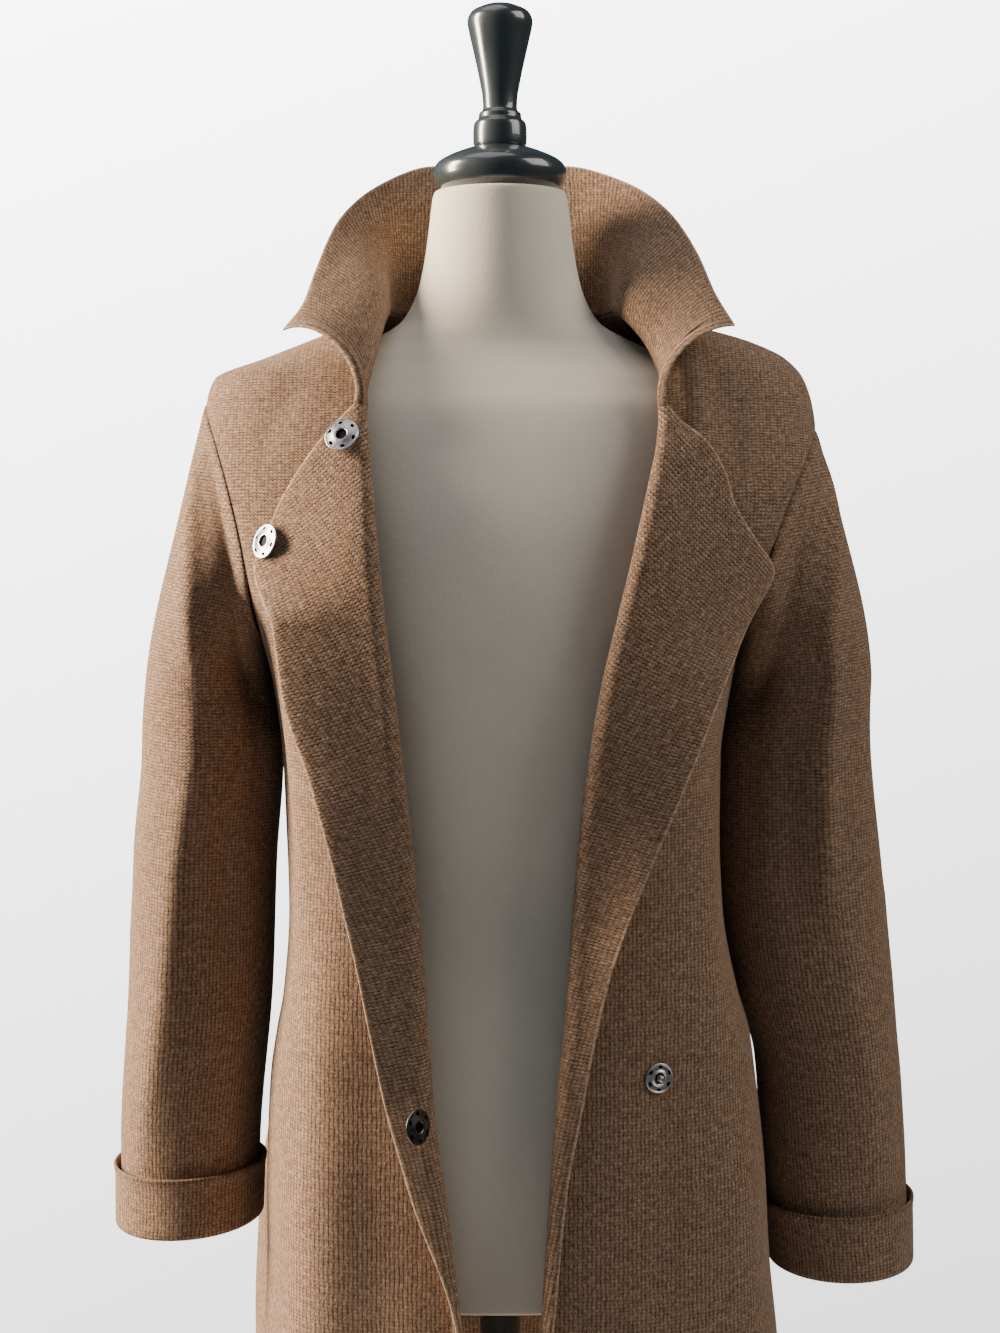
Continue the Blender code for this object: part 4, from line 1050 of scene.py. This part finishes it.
def wool_knit():
    """Fine-gauge wool knitted in heathered brown yarn: matt, with painted light on top of its small stitches
    and painted shade between their columns low down and between their rows higher up, with a soft nap that
    catches side light, a broken line of painted highlight along the finished edges and painted shade along
    the seams."""
    material, tree, shader = start_material(
        "heathered brown wool knit",
        Roughness=0.92,
        Specular_IOR_Level=0.12,
        Sheen_Weight=0.30,
        Sheen_Roughness=0.40,
        Sheen_Tint=colour("#d8c6b2"),
    )
    cloth = add(tree, "UVMap", {}, uv_map="Cloth")
    from_edge = add(tree, "SeparateXYZ", {0: add(tree, "UVMap", {}, uv_map="Edge")})
    from_seam = from_edge.node.outputs[1]
    soft = dict(interpolation_type="SMOOTHSTEP")

    # No column or row of stitches is quite straight: each place is pulled by up to about a millimetre.
    wander = add(tree, "TexNoise", {"Vector": cloth, "Scale": 70, "Detail": 2.0}, "Color")
    wander = add(tree, "VectorMath", {0: wander, 1: (0.5, 0.5, 0.5)}, operation="SUBTRACT")
    pulled = add(tree, "VectorMath", {0: wander, 1: (0.0026, 0.0022, 0), 2: cloth}, operation="MULTIPLY_ADD")
    axes = add(tree, "SeparateXYZ", {0: pulled})

    # How far off the middle of its column and row a place is, up to 1 between two. Rows rise in each column.
    column = add(tree, "Math", {0: axes, 1: WALE}, operation="DIVIDE")
    off_column = add(tree, "Math", {0: column, 1: 0.5}, operation="PINGPONG")
    off_column = add(tree, "Math", {0: off_column, 1: -2.0, 2: 1.0}, operation="MULTIPLY_ADD")
    row = add(tree, "Math", {0: axes.node.outputs[1], 1: COURSE}, operation="DIVIDE")
    row = add(tree, "Math", {0: off_column, 1: 0.45, 2: row}, operation="MULTIPLY_ADD")
    off_row = add(tree, "Math", {0: row, 1: 0.5}, operation="PINGPONG")
    off_row = add(tree, "Math", {0: off_row, 1: -2.0, 2: 1.0}, operation="MULTIPLY_ADD")

    # Up the cloth the grooves between columns get shallower and the ones between rows deeper, unevenly.
    up = add(tree, "SeparateXYZ", {0: cloth}, 1)
    opened = add(tree, "MapRange", {0: up, 1: OPEN_COURSES[0], 2: OPEN_COURSES[1]}, **soft)
    grooves = 0.0
    for away, low_down, high_up in ((off_column, 0.74, 0.40), (off_row, 0.50, 0.95)):
        depth = add(tree, "MapRange", {0: opened, 3: low_down, 4: high_up})
        narrow = add(tree, "Math", {0: away, 1: 3.0}, operation="POWER")
        grooves = add(tree, "Math", {0: narrow, 1: depth, 2: grooves}, operation="MULTIPLY_ADD")
    uneven = add(tree, "TexNoise", {"Vector": cloth, "Scale": 1 / 0.005, "Detail": 1.0})
    uneven = add(tree, "MapRange", {0: uneven, 1: 0.3, 2: 0.7, 3: 0.55, 4: 1.35})
    grooves = add(tree, "Math", {0: grooves, 1: uneven}, operation="MULTIPLY")
    stitch = add(tree, "Math", {0: 1.0, 1: grooves}, operation="SUBTRACT")

    # Yarn that differs from stitch to stitch, fibres along the columns or across them, and broad heather.
    which = add(tree, "CombineXYZ", {0: column, 1: row})
    which = add(tree, "VectorMath", {0: which}, operation="FLOOR")
    yarn = add(tree, "TexWhiteNoise", {"Vector": which}, noise_dimensions="2D")
    fibres = []
    for wide, tall in ((0.0012, 0.0028), (0.0042, 0.0012)):
        drawn = add(tree, "VectorMath", {0: cloth, 1: (1 / wide, 1 / tall, 1)}, operation="MULTIPLY")
        fibres.append(add(tree, "TexNoise", {"Vector": drawn, "Scale": 1.0, "Detail": 2.0}))
    fibre = add(tree, "MixRGB", {0: opened, 1: fibres[0], 2: fibres[1]})
    heather = add(tree, "TexNoise", {"Vector": cloth, "Scale": 1 / 0.012, "Detail": 3.0})
    # The stitches' relief is also painted into the colour: painted light on their tops and painted shade in
    # the grooves between them, mixed with the yarn's own tones.
    level = add(tree, "Math", {0: stitch, 1: 0.54, 2: 0.14}, operation="MULTIPLY_ADD")
    for grain, share in ((fibre, 1.0), (yarn, 0.13), (heather, 0.16)):
        grain = add(tree, "Math", {0: grain, 1: 0.5}, operation="SUBTRACT")
        level = add(tree, "Math", {0: grain, 1: share, 2: level}, operation="MULTIPLY_ADD")
    ramp = add(tree, "ValToRGB", {0: level})
    stops = ramp.node.color_ramp.elements
    stops[0].position, stops[0].color = 0.05, colour("#433327")
    stops[1].position, stops[1].color = 0.95, colour("#c0a184")
    for position, shade in ((0.30, "#685140"), (0.58, "#8a6f59")):
        stops.new(position).color = colour(shade)

    # The finished edge's line of small loops, 3 mm long, painted paler as a highlight where the standing edge
    # catches the side light; and painted shade in the dip along a seam.
    line = add(tree, "MapRange", {0: from_edge, 1: 0.0003, 2: 0.0014, 3: 1.0, 4: 0.0}, **soft)
    loops = add(tree, "TexNoise", {"Vector": cloth, "Scale": 1 / 0.0030, "Detail": 1.0})
    loops = add(tree, "MapRange", {0: loops, 1: 0.35, 2: 0.65, 3: 0.15, 4: 0.75})
    line = add(tree, "Math", {0: line, 1: loops}, operation="MULTIPLY")
    # Painted shade: the cloth is darker in the dip along a seam.
    seam = add(tree, "MapRange", {0: from_seam, 1: 0.0, 2: SEAM_REACH, 3: 0.30, 4: 0.0}, **soft)
    # Painted highlight: the paler colour along the finished edges.
    painted = add(tree, "MixRGB", {0: line, 1: ramp, 2: colour("#d2b292")})
    painted = add(tree, "MixRGB", {0: seam, 1: painted, 2: colour("#3a291c")})
    tree.links.new(painted, shader.inputs["Base Color"])
    height = add(tree, "Math", {0: stitch, 1: 0.7, 2: fibre}, operation="MULTIPLY_ADD")
    bump = add(tree, "Bump", {"Height": height, "Strength": 0.5, "Distance": 0.0005})
    tree.links.new(bump, shader.inputs["Normal"])
    return material


def jersey():
    """Unbleached cotton jersey stretched over the padding: pale, matt, with very fine upright ribs."""
    material, tree, shader = start_material(
        "ecru cotton jersey", Roughness=0.9, Specular_IOR_Level=0.2, Sheen_Weight=0.15, Sheen_Roughness=0.5
    )
    place = add(tree, "TexCoord", {}, "Object")
    # Real ribs are 0.8 mm apart; they are drawn 1.6 mm apart so that they show.
    wide = add(tree, "VectorMath", {0: place, 1: (1 / 0.0016, 1 / 0.0016, 1 / 0.0024)}, operation="MULTIPLY")
    cells = add(tree, "TexNoise", {"Vector": wide, "Scale": 1.0, "Detail": 2.0})
    slubs = add(tree, "TexNoise", {"Vector": place, "Scale": 60.0, "Detail": 3.0})
    tone = add(tree, "MixRGB", {0: cells, 1: colour("#e0d5c0"), 2: colour("#f3ebdb")})
    tone = add(tree, "MixRGB", {0: slubs, 1: tone, 2: colour("#e4dac6")})
    tree.links.new(tone, shader.inputs["Base Color"])
    bump = add(tree, "Bump", {"Height": cells, "Strength": 0.4, "Distance": 0.0003})
    tree.links.new(bump, shader.inputs["Normal"])
    return material


def lacquered_wood():
    """Turned beech under a thick slate-black lacquer: dark, glassy, with faint unevenness in the gloss."""
    material, tree, shader = start_material(
        "slate black lacquered wood", IOR=1.5, Coat_Weight=1.0, Coat_Roughness=0.04, Coat_IOR=1.5
    )
    place = add(tree, "TexCoord", {}, "Object")
    grain = add(tree, "VectorMath", {0: place, 1: (1, 1, 0.08)}, operation="MULTIPLY")
    grain = add(tree, "TexNoise", {"Vector": grain, "Scale": 1 / 0.003, "Detail": 3.0})
    cloudy = add(tree, "TexNoise", {"Vector": place, "Scale": 1 / 0.03, "Detail": 2.0})
    tone = add(tree, "MixRGB", {0: grain, 1: colour("#2f3535"), 2: colour("#3f4545")})
    tree.links.new(tone, shader.inputs["Base Color"])
    rough = add(tree, "MapRange", {0: cloudy, 1: 0.3, 2: 0.7, 3: 0.22, 4: 0.36})
    tree.links.new(rough, shader.inputs["Roughness"])
    bump = add(tree, "Bump", {"Height": cloudy, "Strength": 0.15, "Distance": 0.0005})
    tree.links.new(bump, shader.inputs["Normal"])
    return material


def plated_brass(name, light, dark, rough):
    """Stamped brass, plated and barrelled smooth: soft reflections, with fine handling scratches."""
    material, tree, shader = start_material(name, Metallic=1.0)
    place = add(tree, "TexCoord", {}, "Object")
    stain = add(tree, "TexNoise", {"Vector": place, "Scale": 1 / 0.0025, "Detail": 4.0})
    tone = add(tree, "MixRGB", {0: stain, 1: colour(dark), 2: colour(light)})
    tree.links.new(tone, shader.inputs["Base Color"])
    level = add(tree, "MapRange", {0: stain, 1: 0.3, 2: 0.7, 3: rough, 4: rough + 0.12})
    tree.links.new(level, shader.inputs["Roughness"])
    bump = add(tree, "Bump", {"Height": stain, "Strength": 0.12, "Distance": 0.0002})
    tree.links.new(bump, shader.inputs["Normal"])
    return material


def spring_steel_and_painted_hole_shade():
    """The spring inside a socket, oily black; the same black is painted shade in the sewing holes and the
    wells.
    """
    material, tree, shader = start_material("blackened spring steel and painted hole shade", Metallic=1.0, Roughness=0.5)
    place = add(tree, "TexCoord", {}, "Object")
    oily = add(tree, "TexNoise", {"Vector": place, "Scale": 1 / 0.0015, "Detail": 2.0})
    tone = add(tree, "MixRGB", {0: oily, 1: colour("#0c0c0d"), 2: colour("#1d1d1f")})
    tree.links.new(tone, shader.inputs["Base Color"])
    return material


# ------------------------------------------------------------------------------------- making everything


WOOL = wool_knit()
COVER = jersey()
LACQUER = lacquered_wood()
NICKEL = plated_brass("nickel plated brass", "#c2c2c4", "#95979a", 0.28)
GUNMETAL = plated_brass("gunmetal plated brass", "#8d8a86", "#5c5956", 0.26)
TIN = plated_brass("tin plated brass", "#e3dfd8", "#b9b5ae", 0.36)
SPRING_STEEL_AND_HOLE_SHADE = spring_steel_and_painted_hole_shade()

cloth_pieces = {
    "back": back(WOOL),
    "front_right": front(RIGHT, WOOL),
    "front_left": front(LEFT, WOOL),
    "sleeve_right": sleeve(RIGHT, WOOL),
    "sleeve_left": sleeve(LEFT, WOOL),
    "collar": collar(WOOL),
}
# Each cloth piece hangs from the root body, and its solid from model.glb is hidden.
for node, piece in cloth_pieces.items():
    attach(piece, "root")
    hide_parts(node)

PLATES = {"snap_socket_waist": GUNMETAL, "snap_stud_waist": TIN}
fittings = {"form_torso": (dress_form(COVER), "form_jersey")}
for node, profile in TURNED.items():
    fittings[node] = turned_piece("form_" + node, profile, LACQUER), "black_lacquer"
for node, place in SNAPS.items():
    fittings[node] = snap(node, place, PLATES.get(node, NICKEL), SPRING_STEEL_AND_HOLE_SHADE), "snap_metal"
for node, (piece, slot) in fittings.items():
    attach(piece, "root")
    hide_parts(node)


# ------------------------------------------------------------------------------------ floor, light, camera


def floor():
    """A pale round floor that fades into the plain background towards its edge."""
    material, tree, shader = start_material("pale matt floor", Base_Color=colour("#e9e8ea"), Roughness=0.9)
    place = add(tree, "TexCoord", {}, "Object")
    away = add(tree, "VectorMath", {0: place}, "Value", operation="LENGTH")
    shown = add(tree, "MapRange", {0: away, 1: 0.7, 2: 1.45, 3: 1.0, 4: 0.0}, interpolation_type="SMOOTHSTEP")
    tree.links.new(shown, shader.inputs["Alpha"])
    disc = bmesh.new()
    bmesh.ops.create_circle(disc, cap_ends=True, segments=96, radius=1.5)
    mesh = bpy.data.meshes.new("floor")
    disc.to_mesh(mesh)
    disc.free()
    mesh.materials.append(material)
    place_in_scene("floor", mesh)


def light(name, place, aim, size, power, shade):
    """A rectangular lamp of so many watts at a place, turned to what it aims at."""
    lamp = bpy.data.lights.new(name, "AREA")
    lamp.shape = "RECTANGLE"
    lamp.size, lamp.size_y = size
    lamp.energy = power
    lamp.color = colour(shade)[:3]
    thing = bpy.data.objects.new(name, lamp)
    thing.location = place
    thing.rotation_euler = (Vector(aim) - Vector(place)).to_track_quat("-Z", "Y").to_euler()
    bpy.context.scene.collection.objects.link(thing)


def surroundings():
    """Plain pale walls as the camera sees them, and dimmer ones, brighter on the window's side, as light."""
    world = bpy.data.worlds.new("plain pale studio")
    world.use_nodes = True
    bpy.context.scene.world = world
    tree = world.node_tree
    tree.nodes.clear()
    direction = add(tree, "TexCoord", {}, "Generated")
    side = add(tree, "SeparateXYZ", {0: direction})
    tone = add(tree, "MapRange", {0: side, 1: -1.0, 2: 1.0, 3: WALL_GLOW, 4: WALL_GLOW * 0.20})
    glow = add(tree, "Background", {"Color": colour("#b4dcff"), "Strength": tone})
    # Seen walls brighten upwards and, less, towards the window.
    lean = add(tree, "VectorMath", {0: direction, 1: (-0.6, 0.0, 1.65)}, "Value", operation="DOT_PRODUCT")
    fade = add(tree, "Math", {0: WALL_SEEN, 1: lean}, operation="ADD")
    fade = add(tree, "Math", {0: fade}, operation="EXPONENT")
    wall = add(tree, "Background", {"Color": colour("#f9f9fb"), "Strength": fade})
    seen = add(tree, "LightPath", {}, "Is Camera Ray")
    both = add(tree, "MixShader", {0: seen, 1: glow, 2: wall})
    add(tree, "OutputWorld", {0: both})


WALL_GLOW = 0.17  # brightness of the walls as light on the window's side
WALL_SEEN = 1.58  # natural logarithm of the walls' brightness straight ahead
surroundings()
floor()
light("window", (-2.57, 0.00, 2.08), (0, 0, 1.15), (0.75, 2.1), 360, "#ffeedb")
light("far wall", (1.70, -0.52, 2.51), (0, 0, 1.30), (1.4, 1.4), 30, "#fff8f0")
light("ceiling", (-0.36, -0.21, 3.5), (0, 0, 1.15), (1.6, 1.6), 13, "#fbf9ff")

lens = bpy.data.cameras.new("camera")
lens.lens = 52.66
lens.sensor_width = 36
lens.clip_end = 50
camera = bpy.data.objects.new("camera", lens)
camera.location = (0, -1.40, 1.33)
camera.rotation_euler = (math.radians(90 - 4.9), 0, 0)
bpy.context.scene.collection.objects.link(camera)
bpy.context.scene.camera = camera
